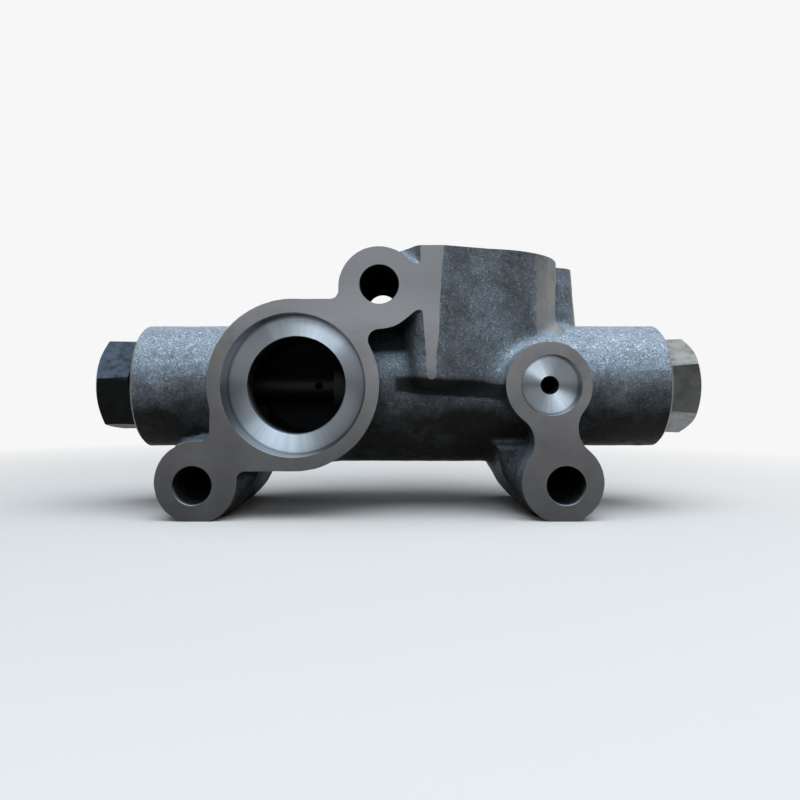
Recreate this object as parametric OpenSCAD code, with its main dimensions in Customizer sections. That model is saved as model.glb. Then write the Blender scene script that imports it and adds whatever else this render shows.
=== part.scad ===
// Flange-mounted relief valve: two spring-loaded spools in one bore of a cast iron body.
// X runs along the bore, Y runs back from the machined mounting face, Z is up.
// The origin is the centre of the main port on the mounting face.

/* [Mounting face] */
// Distance between the two lower bolt holes
bolt_spacing = 130; // [126:1:140]
// Lower left bolt hole, left of the main port
lower_bolt_left = 35; // [34:0.5:38]
// Lower bolt holes, below the main port
lower_bolt_drop = 35; // [34:0.5:38]
// Top bolt hole, right of the main port
top_bolt_right = 30; // [28:0.5:30.5]
// Top bolt hole, above the main port
top_bolt_rise = 35; // [34:0.5:36.5]
// Bolt hole diameter
bolt_hole_d = 13.5; // [11:0.5:14.5]
// Diameter of the bosses around the bolt holes
bolt_boss_d = 28.6; // [27:0.2:31]
// How far each boss sits inwards of its hole, along X and along Z
boss_inset = 1.1; // [0:0.1:1.5]
// Length of the two lower bolt columns
lower_column_len = 60; // [54:1:68]
// Length of the top bolt column
top_column_len = 76; // [70:1:84]
// Depth of the spot faces behind the bolt columns
spot_face_depth = 1.2; // [0.5:0.1:2]
// Width of the spot faces around the bolt holes
spot_face_w = 5; // [4:0.5:5.5]
// Overall height, from the foot flats to the top face
height = 96; // [94.6:0.2:97]

/* [Main port] */
// Diameter of the ring around the main port
ring_d = 60; // [57:0.5:62]
// Diameter of the seal counterbore
port_recess_d = 50; // [46:0.5:52]
// Depth of the seal counterbore
port_recess_depth = 9; // [6:0.5:10]
// Diameter of the port hole
port_hole_d = 35; // [28:0.5:36]
// Length of the port hole behind the counterbore
port_hole_len = 11; // [9:0.5:12]
// Diameter of the cast chamber behind the port hole
chamber_d = 38; // [37:0.2:39]

/* [Pilot port] */
// Pilot port, right of the main port
pilot_right = 90; // [87:0.5:93]
// Diameter of the pilot boss
pilot_boss_d = 30.2; // [27:0.2:32]
// How far the pilot boss sits inwards of its port
pilot_boss_inset = 0.9; // [0:0.1:1.5]
// Diameter of the pilot counterbore
pilot_recess_d = 21; // [17:0.5:23]
// Depth of the pilot counterbore
pilot_recess_depth = 3.5; // [2:0.25:5]
// Diameter of the pilot hole
pilot_hole_d = 6; // [4:0.5:8]

/* [Barrel] */
// Depth of the bore axis behind the mounting face
axis_depth = 33; // [32:0.5:36]
// Left end of the barrel, left of the main port
barrel_left = 60.6; // [59:0.2:66]
// Right end of the barrel, right of the main port
barrel_right = 136.4; // [134:0.2:144]
// Outer diameter at the barrel ends
barrel_d = 47; // [45:0.5:49]
// Outer diameter of the middle of the barrel
bulge_d = 60; // [57:0.5:61]
// How far the middle is set back from the bore axis
bulge_back = 4.6; // [3:0.2:5.8]
// Left end of the middle, left of the main port
bulge_left = 24; // [22:0.5:26]
// Right end of the middle, right of the main port
bulge_right = 84; // [80:0.5:88]
// Fillet between the middle and the ends
barrel_fillet = 4; // [2:0.5:5]

/* [Port block] */
// Height of the block's top face above the bore axis
block_top = 48.6; // [47:0.2:52]
// Height of the block's lower edge above the bore axis
block_low = 1.5; // [0.5:0.25:3]
// Left side of the block, right of the main port
block_left = 37; // [36:0.25:38.5]
// Back of the block, behind the mounting face
block_back = 74; // [68:0.5:78]
// Radius of the block's round right side
block_round_r = 37.4; // [36:0.2:39]
// Centre of the round right side, along X
block_round_x = 63; // [61:0.5:65]
// Centre of the round right side, along Y
block_round_y = 43; // [41:0.5:44.5]
// Radius of the front nose that the mounting face cuts
nose_r = 7; // [6:0.25:8]
// Nose centre, right of the main port
nose_x = 48.1; // [47:0.1:50]
// How far the nose stands through the mounting face at the top
nose_proud = 1.26; // [0.8:0.05:1.6]
// Draft angle of the block's front
block_draft = 1.3; // [0:0.1:2]
// Diameter of the ear at the back right, at the top face
ear_d = 17; // [15:0.5:19]
// Draft angle of the ear
ear_draft = 4.8; // [2:0.4:6]

/* [Top ports] */
// Outlet port diameter
outlet_d = 22; // [18:0.5:23]
// Outlet port, right of the main port
outlet_x = 57; // [56:0.25:58]
// Drain port diameter
drain_d = 18; // [15:0.5:18.5]
// Drain port, right of the main port
drain_x = 88; // [87.5:0.25:88.5]
// Depth of both top ports behind the mounting face
top_port_y = 39.4; // [38:0.2:41]
// Tapping diameter of the three flange bolt holes
tapped_d = 8.5; // [6.8:0.1:8.6]
// Depth of the three flange bolt holes
tapped_depth = 18; // [14:0.5:20]

/* [Bore] */
// Diameter of the spool bore
bore_d = 25; // [23:0.5:25.5]
// Diameter of the plug thread
thread_d = 30; // [28.5:0.25:31]
// Length of the plug thread
thread_len = 16; // [14:0.5:17]
// Running clearance of the spools, on the radius
spool_clearance = 0.04; // [0.02:0.01:0.08]
// Clearance of parts that are fitted and stay put, on the radius
fit_clearance = 0.05; // [0.03:0.01:0.1]
// Diameter of the ring chambers round the bore
ring_chamber_d = 38; // [36.5:0.25:39]
// Length of the two inlet ring chambers
inlet_ring_len = 11; // [10:0.25:12]
// Length of the drain ring chamber
drain_ring_len = 14; // [13.5:0.25:15]
// Length of bore that each metering land closes
land_wall = 8; // [7.5:0.25:8.5]

/* [Spools] */
// How far a metering land overlaps its bore when closed
closed_overlap = 4.5; // [3.5:0.25:5]
// Length of the metering lands
meter_land_len = 11; // [10:0.25:12]
// Length of the guide lands at the spring ends
guide_land_len = 11.5; // [10:0.25:12.5]
// Length of the end lands at the centre stop
end_land_len = 8; // [7.5:0.25:8.5]
// Stem diameter
stem_d = 9; // [8.5:0.25:11]
// Neck diameter around the pistons
neck_d = 14; // [13:0.25:16]
// Piston diameter
piston_d = 8; // [7:0.25:9]
// Piston length
piston_len = 19.5; // [18:0.25:20]
// Balance groove depth on the lands
groove_depth = 0.5; // [0.3:0.05:0.8]
// Balance groove width on the lands
groove_w = 0.9; // [0.6:0.05:1.1]

/* [Centre stop] */
// Thickness of the stop between the spools
stop_len = 8; // [7.5:0.25:8.5]
// Thread diameter of the stop screw
stop_screw_d = 8; // [7:0.25:8.5]
// Tilt of the stop screw below the horizontal
stop_screw_tilt = 30; // [25:1:40]
// Width across flats of the stop screw's head
stop_screw_af = 13; // [12:0.5:14]
// Height of the stop screw's head
stop_screw_head = 5.5; // [4:0.25:7]
// Thickness of the copper washer
copper_washer_t = 1.5; // [1:0.25:2]

/* [Plugs and springs] */
// Width across flats of the plug heads
plug_af = 32; // [30:0.5:34]
// Length of the main plug's head with its collar
main_head_len = 15.3; // [14:0.1:18]
// Length of the converter plug's head with its collar
converter_head_len = 13.3; // [12:0.1:16]
// Length of the main plug's round collar
main_collar_len = 2; // [1:0.1:3]
// Length of the converter plug's round collar
converter_collar_len = 1; // [0.6:0.1:2]
// Diameter of the round collars
collar_d = 35; // [34.4:0.1:36]
// Turn of the main plug's hexagon
main_hex_turn = 38; // [0:1:59]
// Turn of the converter plug's hexagon
converter_hex_turn = 4; // [0:1:59]
// Spring pocket diameter in the plugs
pocket_d = 20; // [19.6:0.1:22]
// Wall left at the bottom of the spring pockets
pocket_floor = 5.8; // [4:0.1:7]
// Section of the plug seal rings
seal_section = 1.8; // [1.5:0.05:2]
// Thickness of one shim
shim_t = 0.5; // [0.3:0.05:0.8]
// Shims behind each spring
shim_count = 3; // [1:1:4]
// Thickness of the spring seats
seat_t = 2.5; // [2:0.1:3]
// Wire of the main outer spring
outer_wire = 3; // [2.4:0.1:3.1]
// Wire of the main inner spring
inner_wire = 1.6; // [1.2:0.1:1.8]
// Wire of the converter spring
converter_wire = 2.4; // [2:0.1:2.8]

/* [Hidden] */
$fn = 96;

cast_colour = [0.30, 0.33, 0.36];
plug_colour = [0.12, 0.13, 0.14];
steel_colour = [0.62, 0.64, 0.67];
spring_colour = [0.45, 0.47, 0.52];
rubber_colour = [0.06, 0.06, 0.06];
brass_colour = [0.78, 0.62, 0.28];
copper_colour = [0.76, 0.44, 0.28];

// Cutters stand out by this much, and the milling cuts reach past the whole part
over = 2;
mill_reach = 300;

ring_r = ring_d / 2;
boss_r = bolt_boss_d / 2;
pilot_boss_r = pilot_boss_d / 2;
bulge_r = bulge_d / 2;
barrel_r = barrel_d / 2;
bore_r = bore_d / 2;
barrel_chamfer = 0.8;
bulge_chamfer = 1;

lower_bolt_right = bolt_spacing - lower_bolt_left;
left_hole = [-lower_bolt_left, -lower_bolt_drop];
right_hole = [lower_bolt_right, -lower_bolt_drop];
top_hole = [top_bolt_right, top_bolt_rise];
left_boss = left_hole + [boss_inset, boss_inset];
right_boss = right_hole + [-boss_inset, boss_inset];
top_boss = top_hole + [0, -boss_inset];
pilot = [pilot_right, 0];
pilot_boss = pilot - [pilot_boss_inset, 0];
foot_z = block_top - height;

// Chambers along the bore, worked out from the main port to the right
chamber_edge = chamber_d / 2;
chamber_y0 = port_recess_depth + port_hole_len;
chamber_y1 = axis_depth + bore_r + 1.5;
inlet_ring_1 = chamber_edge + land_wall;
end_land_gap = 1;
stop_x0 = inlet_ring_1 + inlet_ring_len + end_land_gap + end_land_len;
stop_x1 = stop_x0 + stop_len;
inlet_ring_2 = stop_x1 + end_land_len + end_land_gap;
drain_ring = inlet_ring_2 + inlet_ring_len + land_wall;
drain_ring_end = drain_ring + drain_ring_len;

// Cast gallery that joins the two inlet rings under the outlet port
gallery_r = 6;
gallery_z = bore_r + gallery_r + 1.6;
gallery_y = axis_depth + 5;
gallery_x0 = inlet_ring_1 + 6;
gallery_x1 = inlet_ring_2 + 8;
plenum_wall = 1;
plenum_top = gallery_z + gallery_r + 1;
outlet_low = bore_r + 4;
drain_low = bore_r + 2;

thread_r = thread_d / 2;
bore_x0 = -barrel_left + thread_len;
bore_x1 = barrel_right - thread_len;

// Main spool, closed on the centre stop
main_meter_right = chamber_edge + closed_overlap;
main_meter_left = main_meter_right - meter_land_len;
main_guide_right = -chamber_edge - 1.5;
main_guide_left = main_guide_right - guide_land_len;
main_end_left = stop_x0 - end_land_len;
feed_d = 3;
feed_x = 6;
piston_gap = 0.5;
piston_hole_len = piston_len + piston_gap;

// Converter spool, closed on the centre stop
converter_meter_left = drain_ring - closed_overlap;
converter_meter_right = converter_meter_left + meter_land_len;
converter_guide_left = drain_ring_end + 2.5;
converter_guide_right = converter_guide_left + guide_land_len;
converter_end_right = stop_x1 + end_land_len;

spool_r = bore_r - spool_clearance;
orifice_d = 6;
orifice_len = 5;
orifice_hole_d = 1.2;

// Spring seats and springs
seat_r = pocket_d / 2 - 0.4;
seat_tail_d = 8;
seat_tail_len = 2;
seat_shoulder_len = 1.2;
seat_pin_len = 4;
main_seat_x = main_guide_left - seat_t;
converter_seat_x = converter_guide_right + seat_t;
main_pocket_x = -barrel_left - main_head_len + pocket_floor;
converter_pocket_x = barrel_right + converter_head_len - pocket_floor;
shim_pitch = shim_t + 0.01;
shim_stack = shim_pitch * shim_count;
shim_hole_d = 6;
spring_gap = 0.02;
outer_mean_r = seat_r - outer_wire / 2 - 0.3;
inner_mean_r = 4.3;
converter_mean_r = seat_r - converter_wire / 2 - 0.3;
outer_turns = 7;
inner_turns = 10;
converter_turns = 7;

// Counterbore at each barrel end that holds the plug's seal ring
seal_recess_r = thread_r + seal_section + 2 * fit_clearance;
seal_recess_len = seal_section + 0.2;

// Stop screw, square to the bore and out through the middle of the barrel
stop_screw_x = stop_x1 - 2.6;
stop_boss_r = 9.5;
stop_boss_in = bore_r + 2;
stop_boss_proud = 1.5;
stop_wall = bulge_back * cos(stop_screw_tilt) + sqrt(bulge_r ^ 2 - (bulge_back * sin(stop_screw_tilt)) ^ 2);
stop_boss_out = stop_wall + stop_boss_proud;
stop_point_d = 3.2;
stop_point_in = bore_r - 3;
stop_groove_x = stop_x0 + 2.7;
stop_seal_section = 1.7;
stop_seal_groove_w = 2.3;

// Flange bolt holes in the top face; one is in the ear
ear_reach = 0.6;
ear_back = 9.5;
ear_at = [block_round_x + block_round_r + ear_reach, block_round_y + ear_back];
flange_hole_x = nose_x - 1.6;
tapped_at = [[flange_hole_x, 18.5], ear_at, [flange_hole_x, block_back - 10]];

// Port block: where its flat left side and its sloping front end, both just inside its round side
block_side_y = 12;
block_back_step = 0.6;
front_end_turn = -77;
front_end_step = 0.4;

// Gussets under the barrel: points of the free edge, from the column's centre
gusset_y0 = 10;
gusset_back_step = 1;
gusset_foot_w = 5.2;
gusset_knee = [14.2, -6.6];
gusset_waist = [19.3, 1.4];
gusset_root_w = 22;
gusset_root_z = 2 - barrel_r;
gusset_outer_w = 10;

// Cylinder along the bore axis
module rod_x(x0, x1, r) {
    translate([x0, axis_depth, 0]) rotate([0, 90, 0]) cylinder(h = x1 - x0, r = r);
}

// Cylinder square to the mounting face
module rod_y(y0, y1, r, at) {
    translate([at[0], y0, at[1]]) rotate([-90, 0, 0]) cylinder(h = y1 - y0, r = r);
}

// Drawing in X and Z, pushed back from y0 to y1
module slab_y(y0, y1) {
    translate([0, y1, 0]) rotate([90, 0, 0]) linear_extrude(y1 - y0) children();
}

// Profile of radius and X, turned round the bore axis
module turned_x() {
    translate([0, axis_depth, 0]) rotate([0, 90, 0]) rotate_extrude() children();
}

// Centre of the fillet that touches two circles on one side of the line between them
function fillet_centre(c1, r1, c2, r2, rf, side) =
    let (d = norm(c2 - c1), u = (c2 - c1) / d)
    let (a = ((r1 + rf) ^ 2 - (r2 + rf) ^ 2 + d ^ 2) / (2 * d))
    let (h = sqrt((r1 + rf) ^ 2 - a ^ 2))
    c1 + a * u + side * h * [-u[1], u[0]];

// Web between two bosses with one hollow fillet
module filleted_web(c1, r1, c2, r2, rf, side) {
    cf = fillet_centre(c1, r1, c2, r2, rf, side);
    difference() {
        polygon(side > 0 ? [c1, c2, cf] : [c1, cf, c2]);
        translate(cf) circle(rf - blend_step);
    }
}

// Fillet radii of the webs; each arc stops a hair short of the circles it blends
blend_step = 0.03;
web_depth = 14;
front_slope = 15.7;
ring_web_r = 4;
neck_web_r = 10;
crook_r = 3;
side_crook_r = 3.5;
side_wall_step = 1;

// Web from the main ring to a boss: a straight wall that ends in a hollow fillet round the boss
module crook(boss, wall, rf) {
    side = sign(boss[0]);
    hollow = [boss[0] - side * sqrt((boss_r + rf) ^ 2 - (wall + rf - boss[1]) ^ 2), wall + rf];
    corners = [[0, 0], boss, hollow, [hollow[0], wall], [0, wall]];
    difference() {
        polygon(side > 0 ? corners : [for (i = [4 : -1 : 0]) corners[i]]);
        translate(hollow) circle(rf - blend_step);
    }
}

// Webs between the main ring, the top boss and the lower left boss
module left_webs() {
    filleted_web([0, 0], ring_r, top_boss, boss_r, ring_web_r, -1);
    crook(top_boss, ring_r, crook_r);
    rotate(180) crook(-left_boss, ring_r, crook_r);
    rotate(90) crook([left_boss[1], -left_boss[0]], ring_r - side_wall_step, side_crook_r);
}

// Webs of the neck between the pilot boss and the lower right boss
module right_webs() {
    filleted_web(pilot_boss, pilot_boss_r, right_boss, boss_r, neck_web_r, 1);
    filleted_web(pilot_boss, pilot_boss_r, right_boss, boss_r, neck_web_r, -1);
}

// Gusset from a lower bolt column up to the barrel, drawn about X = 0 for the left column
module column_gusset() {
    low = foot_z - over;
    z = left_boss[1];
    slab_y(gusset_y0, lower_column_len - gusset_back_step) polygon([
        [-gusset_outer_w, z], [0, low], [gusset_foot_w, low], gusset_knee + [0, z],
        gusset_waist + [0, z], [gusset_root_w, gusset_root_z], [-gusset_outer_w, gusset_root_z]]);
}

// Round bar along X that swells to a second radius between two hollow fillets
module filleted_bar() {
    wide_r = barrel_r + barrel_fillet;
    turned_x() difference() {
        polygon([
            [0, -barrel_left], [barrel_r - barrel_chamfer, -barrel_left],
            [barrel_r, -barrel_left + barrel_chamfer], [barrel_r, -bulge_left - barrel_fillet],
            [wide_r, -bulge_left - barrel_fillet], [wide_r, bulge_right + barrel_fillet],
            [barrel_r, bulge_right + barrel_fillet], [barrel_r, barrel_right - barrel_chamfer],
            [barrel_r - barrel_chamfer, barrel_right], [0, barrel_right]]);
        for (x = [-bulge_left - barrel_fillet, bulge_right + barrel_fillet])
            translate([wide_r, x]) circle(barrel_fillet);
    }
}

// Barrel with its thicker middle, which is set back and holds the fillets within it
module barrel_form() {
    inner_r = max(bulge_r - bulge_chamfer, barrel_r + bulge_back + 0.3);
    intersection() {
        filleted_bar();
        translate([0, bulge_back, 0]) rod_x(-barrel_left - over, barrel_right + over, inner_r);
    }
    translate([0, bulge_back, 0]) turned_x() polygon([
        [0, -bulge_left], [bulge_r - bulge_chamfer, -bulge_left],
        [bulge_r, -bulge_left + bulge_chamfer], [bulge_r, bulge_right - bulge_chamfer],
        [bulge_r - bulge_chamfer, bulge_right], [0, bulge_right]]);
}

// Prism of the block's height whose front leans back towards the bottom
module drafted_prism() {
    translate([0, 0, block_top]) rotate([block_draft, 0, 0])
        translate([0, 0, block_low - block_top])
            linear_extrude(block_top - block_low + over) children();
}

// Port block: nose, sloping front, round right side and the ear behind it
module port_block() {
    nose = [nose_x, nose_r - nose_proud];
    round_c = [block_round_x, block_round_y];
    front_end = round_c + (block_round_r - front_end_step) * [cos(front_end_turn), sin(front_end_turn)];
    back_y = block_back - block_back_step;
    drafted_prism() translate(nose) circle(nose_r);
    drafted_prism() polygon([
        [block_left, back_y], [block_left, block_side_y], nose + nose_r * [-cos(45), -sin(45)],
        nose, nose + nose_r * [sin(front_slope), -cos(front_slope)], front_end, round_c,
        [block_round_x + block_side_y, back_y]]);
    drafted_prism() intersection() {
        translate(round_c) circle(block_round_r);
        translate([block_left, 0]) square([block_round_x - block_left + block_round_r, block_back]);
    }
    ear_h = block_top - block_low + over;
    translate([ear_at[0], ear_at[1], block_low])
        cylinder(h = ear_h, r1 = ear_d / 2 + ear_h * tan(ear_draft), r2 = ear_d / 2);
    translate([ear_at[0] - ear_d, ear_at[1] - ear_d / 2, block_low]) cube([ear_d, ear_d, ear_h]);
}

// Frame of the stop screw: Z runs outwards from the bore axis
module stop_screw_frame() {
    translate([stop_screw_x, axis_depth, 0]) rotate([-90 - stop_screw_tilt, 0, 0]) children();
}

// Through hole for a mounting bolt, with the spot face that its head or nut bears on
module bolt_hole(at, column_len) {
    rod_y(-over, column_len + over, bolt_hole_d / 2, at);
    rod_y(column_len - spot_face_depth, column_len + over, bolt_hole_d / 2 + spot_face_w, at);
}

module casting() {
    barrel_form();
    rod_y(-over, axis_depth, ring_r, [0, 0]);
    rod_y(-over, axis_depth, pilot_boss_r, pilot_boss);
    slab_y(-over, web_depth) left_webs();
    slab_y(-over, web_depth) right_webs();
    rod_y(-over, lower_column_len, boss_r, left_boss);
    rod_y(-over, lower_column_len, boss_r, right_boss);
    rod_y(-over, top_column_len, boss_r, top_boss);
    translate([left_boss[0], 0, 0]) column_gusset();
    translate([right_boss[0], 0, 0]) mirror([1, 0, 0]) column_gusset();
    port_block();
    stop_screw_frame() translate([0, 0, stop_boss_in])
        cylinder(h = stop_boss_out - stop_boss_in, r = stop_boss_r);
}

// Port in the top face, with the wider cored plenum under it
module top_port(x, r, low) {
    translate([x, top_port_y, low]) cylinder(h = plenum_top - low, r = r + plenum_wall);
    translate([x, top_port_y, plenum_top - 1]) cylinder(h = block_top - plenum_top + 1 + over, r = r);
}

module machining() {
    // Mounting face, top face, foot flats and the back of the block
    translate([-mill_reach / 2, -mill_reach, -mill_reach / 2]) cube(mill_reach);
    translate([-mill_reach / 2, -over, block_top]) cube(mill_reach);
    translate([-mill_reach / 2, -over, foot_z - mill_reach]) cube(mill_reach);
    translate([block_left - bolt_boss_d, top_column_len, -boss_r]) cube(mill_reach);
    // Main port and the chamber behind it
    rod_y(-over, port_recess_depth, port_recess_d / 2, [0, 0]);
    rod_y(0, chamber_y0 + over, port_hole_d / 2, [0, 0]);
    rod_y(chamber_y0, chamber_y1, chamber_d / 2, [0, 0]);
    // Pilot port
    rod_y(-over, pilot_recess_depth, pilot_recess_d / 2, pilot);
    rod_y(0, axis_depth, pilot_hole_d / 2, pilot);
    // Bolt holes and their spot faces
    bolt_hole(left_hole, lower_column_len);
    bolt_hole(right_hole, lower_column_len);
    bolt_hole(top_hole, top_column_len);
    // Spool bore, plug threads and seal recesses
    rod_x(bore_x0 - 1, bore_x1 + 1, bore_r);
    rod_x(-barrel_left - over, bore_x0, thread_r + fit_clearance);
    rod_x(bore_x1, barrel_right + over, thread_r + fit_clearance);
    rod_x(-barrel_left - over, -barrel_left + seal_recess_len, seal_recess_r);
    rod_x(barrel_right - seal_recess_len, barrel_right + over, seal_recess_r);
    // Ring chambers
    rod_x(inlet_ring_1, inlet_ring_1 + inlet_ring_len, ring_chamber_d / 2);
    rod_x(inlet_ring_2, inlet_ring_2 + inlet_ring_len, ring_chamber_d / 2);
    rod_x(drain_ring, drain_ring_end, ring_chamber_d / 2);
    // Gallery, outlet and drain
    translate([gallery_x0, gallery_y, gallery_z]) rotate([0, 90, 0])
        cylinder(h = gallery_x1 - gallery_x0, r = gallery_r);
    top_port(outlet_x, outlet_d / 2, outlet_low);
    top_port(drain_x, drain_d / 2, drain_low);
    // Tapped holes for the flange on the top face
    for (at = tapped_at)
        translate([at[0], at[1], block_top - tapped_depth])
            cylinder(h = tapped_depth + over, r = tapped_d / 2);
    // Stop screw hole
    stop_screw_frame() translate([0, 0, bore_r - over])
        cylinder(h = stop_boss_out - bore_r + 2 * over, r = stop_screw_d / 2 + fit_clearance);
}

module valve_body() {
    color(cast_colour) difference() {
        casting();
        machining();
    }
}

// Hexagon head along Z, its outer corners turned off at thirty degrees
module hex_head(length, af, turn) {
    top_r = af / 2 - 0.4;
    wide_r = af / 2 / cos(30) + 1;
    intersection() {
        rotate([0, 0, turn]) cylinder(h = length, r = af / 2 / cos(30), $fn = 6);
        rotate_extrude() polygon([
            [0, -1], [wide_r, -1], [wide_r, length - (wide_r - top_r) * tan(30)],
            [top_r - 1, length + tan(30)], [0, length + tan(30)]]);
    }
}

// Plug drawn with its head along +Z and the collar's face at zero
module threaded_plug(head_len, collar_len, turn) {
    difference() {
        union() {
            translate([0, 0, -thread_len + 1.2]) cylinder(h = thread_len - 1.2, r = thread_r);
            translate([0, 0, -thread_len]) cylinder(h = 1.2, r1 = thread_r - 1.2, r2 = thread_r);
            cylinder(h = collar_len, r = collar_d / 2);
            translate([0, 0, collar_len]) hex_head(head_len - collar_len, plug_af, turn);
        }
        translate([0, 0, -thread_len - 1])
            cylinder(h = thread_len + 1 + head_len - pocket_floor, r = pocket_d / 2);
    }
}

module main_plug() {
    color(plug_colour) translate([-barrel_left, axis_depth, 0]) rotate([0, -90, 0])
        threaded_plug(main_head_len, main_collar_len, main_hex_turn);
}

module converter_plug() {
    color(steel_colour) translate([barrel_right, axis_depth, 0]) rotate([0, 90, 0])
        threaded_plug(converter_head_len, converter_collar_len, converter_hex_turn);
}

// Seal ring of round section about the bore axis
module seal_ring(x, inner_r, section) {
    turned_x() translate([inner_r + section / 2, x]) circle(section / 2, $fn = 32);
}

module main_plug_seal() {
    color(rubber_colour)
        seal_ring(-barrel_left + seal_recess_len / 2, thread_r + fit_clearance, seal_section);
}

module converter_plug_seal() {
    color(rubber_colour)
        seal_ring(barrel_right - seal_recess_len / 2, thread_r + fit_clearance, seal_section);
}

// Stack of flat rings, each one its own piece
module shim_pack(x_floor, way) {
    for (i = [0 : shim_count - 1]) {
        x = x_floor + way * (i * shim_pitch + shim_t / 2);
        turned_x() translate([shim_hole_d / 2, x - shim_t / 2])
            square([seat_r - shim_hole_d / 2, shim_t]);
    }
}

module main_shims() {
    color(steel_colour) shim_pack(main_pocket_x, 1);
}

module converter_shims() {
    color(steel_colour) shim_pack(converter_pocket_x, -1);
}

// Coil spring along X between two planes, its end turns closed
module coil_spring(x0, x1, mean_r, wire, turns, steps, sides) {
    n = turns * steps;
    travel = x1 - x0 - wire - 2 * spring_gap;
    closed = 1.05 * wire;
    function advance(t) = t < 1 ? closed * t
        : t > turns - 1 ? travel - closed * (turns - t)
        : closed + (travel - 2 * closed) * (t - 1) / (turns - 2);
    points = [for (i = [0 : n], j = [0 : sides - 1])
        let (t = i / steps, a = 360 * t, b = 360 * j / sides)
        let (r = mean_r + wire / 2 * cos(b), x = x0 + spring_gap + wire / 2 + advance(t))
        [x + wire / 2 * sin(b), axis_depth + r * cos(a), r * sin(a)]];
    walls = [for (i = [0 : n - 1], j = [0 : sides - 1])
        let (k = (j + 1) % sides)
        [i * sides + j, i * sides + k, (i + 1) * sides + k, (i + 1) * sides + j]];
    first = [for (j = [sides - 1 : -1 : 0]) j];
    last = [for (j = [0 : sides - 1]) n * sides + j];
    polyhedron(points, concat(walls, [first, last]));
}

module main_spring_outer() {
    color(spring_colour) coil_spring(main_pocket_x + shim_stack, main_seat_x,
        outer_mean_r, outer_wire, outer_turns, 24, 8);
}

module main_spring_inner() {
    color(spring_colour) coil_spring(main_pocket_x + shim_stack, main_seat_x - seat_shoulder_len,
        inner_mean_r, inner_wire, inner_turns, 16, 6);
}

module converter_spring() {
    color(spring_colour) coil_spring(converter_seat_x, converter_pocket_x - shim_stack,
        converter_mean_r, converter_wire, converter_turns, 24, 8);
}

// Spring seat drawn along +Z: tail in the spool, disc, shoulder and pin in the springs
module spring_seat(shoulder_r, pin_r) {
    translate([0, 0, -seat_tail_len]) cylinder(h = seat_tail_len, r = seat_tail_d / 2 - fit_clearance);
    cylinder(h = seat_t, r = seat_r);
    translate([0, 0, seat_t]) cylinder(h = seat_shoulder_len, r = shoulder_r);
    translate([0, 0, seat_t + seat_shoulder_len]) cylinder(h = seat_pin_len, r = pin_r);
}

module main_spring_seat() {
    color(steel_colour) translate([main_guide_left, axis_depth, 0]) rotate([0, -90, 0])
        spring_seat(outer_mean_r - outer_wire / 2 - 0.3, inner_mean_r - inner_wire / 2 - 0.3);
}

module converter_spring_seat() {
    color(steel_colour) translate([converter_guide_right, axis_depth, 0]) rotate([0, 90, 0])
        spring_seat(converter_mean_r - converter_wire / 2 - 0.3, 4);
}

// Land of a spool with its balance grooves
module land(x0, x1, grooves) {
    pitch = (x1 - x0) / (grooves + 1);
    difference() {
        rod_x(x0, x1, spool_r);
        for (i = [1 : 1 : grooves])
            turned_x() translate([spool_r - groove_depth, x0 + i * pitch - groove_w / 2])
                square([1, groove_w]);
    }
}

module main_spool() {
    color(steel_colour) difference() {
        union() {
            land(main_guide_left, main_guide_right, 3);
            land(main_meter_left, main_meter_right, 0);
            land(main_end_left, stop_x0, 2);
            rod_x(main_guide_right - 1, main_meter_left + 1, stem_d / 2);
            rod_x(main_meter_right - 1, main_end_left + 1, neck_d / 2);
        }
        rod_x(main_guide_left - 1, main_guide_left + seat_tail_len + 0.2, seat_tail_d / 2);
        rod_x(stop_x0 - piston_hole_len, stop_x0 + 1, piston_d / 2);
        rod_x(stop_x0 - piston_hole_len - orifice_len, stop_x0 - 1, orifice_d / 2);
        rod_x(feed_x, stop_x0 - 1, feed_d / 2);
        rod_y(axis_depth - stem_d, axis_depth + stem_d, feed_d / 2, [feed_x, 0]);
    }
}

module main_orifice() {
    x0 = stop_x0 - piston_hole_len - orifice_len;
    color(brass_colour) difference() {
        rod_x(x0, x0 + orifice_len, orifice_d / 2 - fit_clearance);
        rod_x(x0 - 1, x0 + orifice_len + 1, orifice_hole_d / 2);
    }
}

module main_piston() {
    color(steel_colour) rod_x(stop_x0 - piston_len, stop_x0, piston_d / 2 - spool_clearance);
}

module converter_spool() {
    vent_x = stop_x1 + piston_hole_len + 1;
    color(steel_colour) difference() {
        union() {
            land(stop_x1, converter_end_right, 2);
            land(converter_meter_left, converter_meter_right, 0);
            land(converter_guide_left, converter_guide_right, 3);
            rod_x(converter_end_right - 1, converter_meter_left + 1, neck_d / 2);
            rod_x(converter_meter_right - 1, converter_guide_left + 1, stem_d / 2);
        }
        rod_x(converter_guide_right - seat_tail_len - 0.2, converter_guide_right + 1, seat_tail_d / 2);
        rod_x(stop_x1 - 1, stop_x1 + piston_hole_len + 2, piston_d / 2);
        rod_y(axis_depth - neck_d, axis_depth + neck_d, 1, [vent_x, 0]);
    }
}

module converter_piston() {
    color(steel_colour) rod_x(stop_x1, stop_x1 + piston_len, piston_d / 2 - spool_clearance);
}

// Disc between the spools, with its seal groove and a dimple for the screw
module centre_stop() {
    color(steel_colour) difference() {
        rod_x(stop_x0, stop_x1, bore_r - fit_clearance);
        turned_x() translate([bore_r - stop_seal_section, stop_groove_x - stop_seal_groove_w / 2])
            square([bore_r, stop_seal_groove_w]);
        stop_screw_frame() translate([0, 0, stop_point_in])
            cylinder(h = bore_r, r = stop_point_d / 2 + fit_clearance);
    }
}

module centre_stop_seal() {
    color(rubber_colour)
        seal_ring(stop_groove_x, bore_r - stop_seal_section + 0.02, stop_seal_section - 0.05);
}

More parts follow.
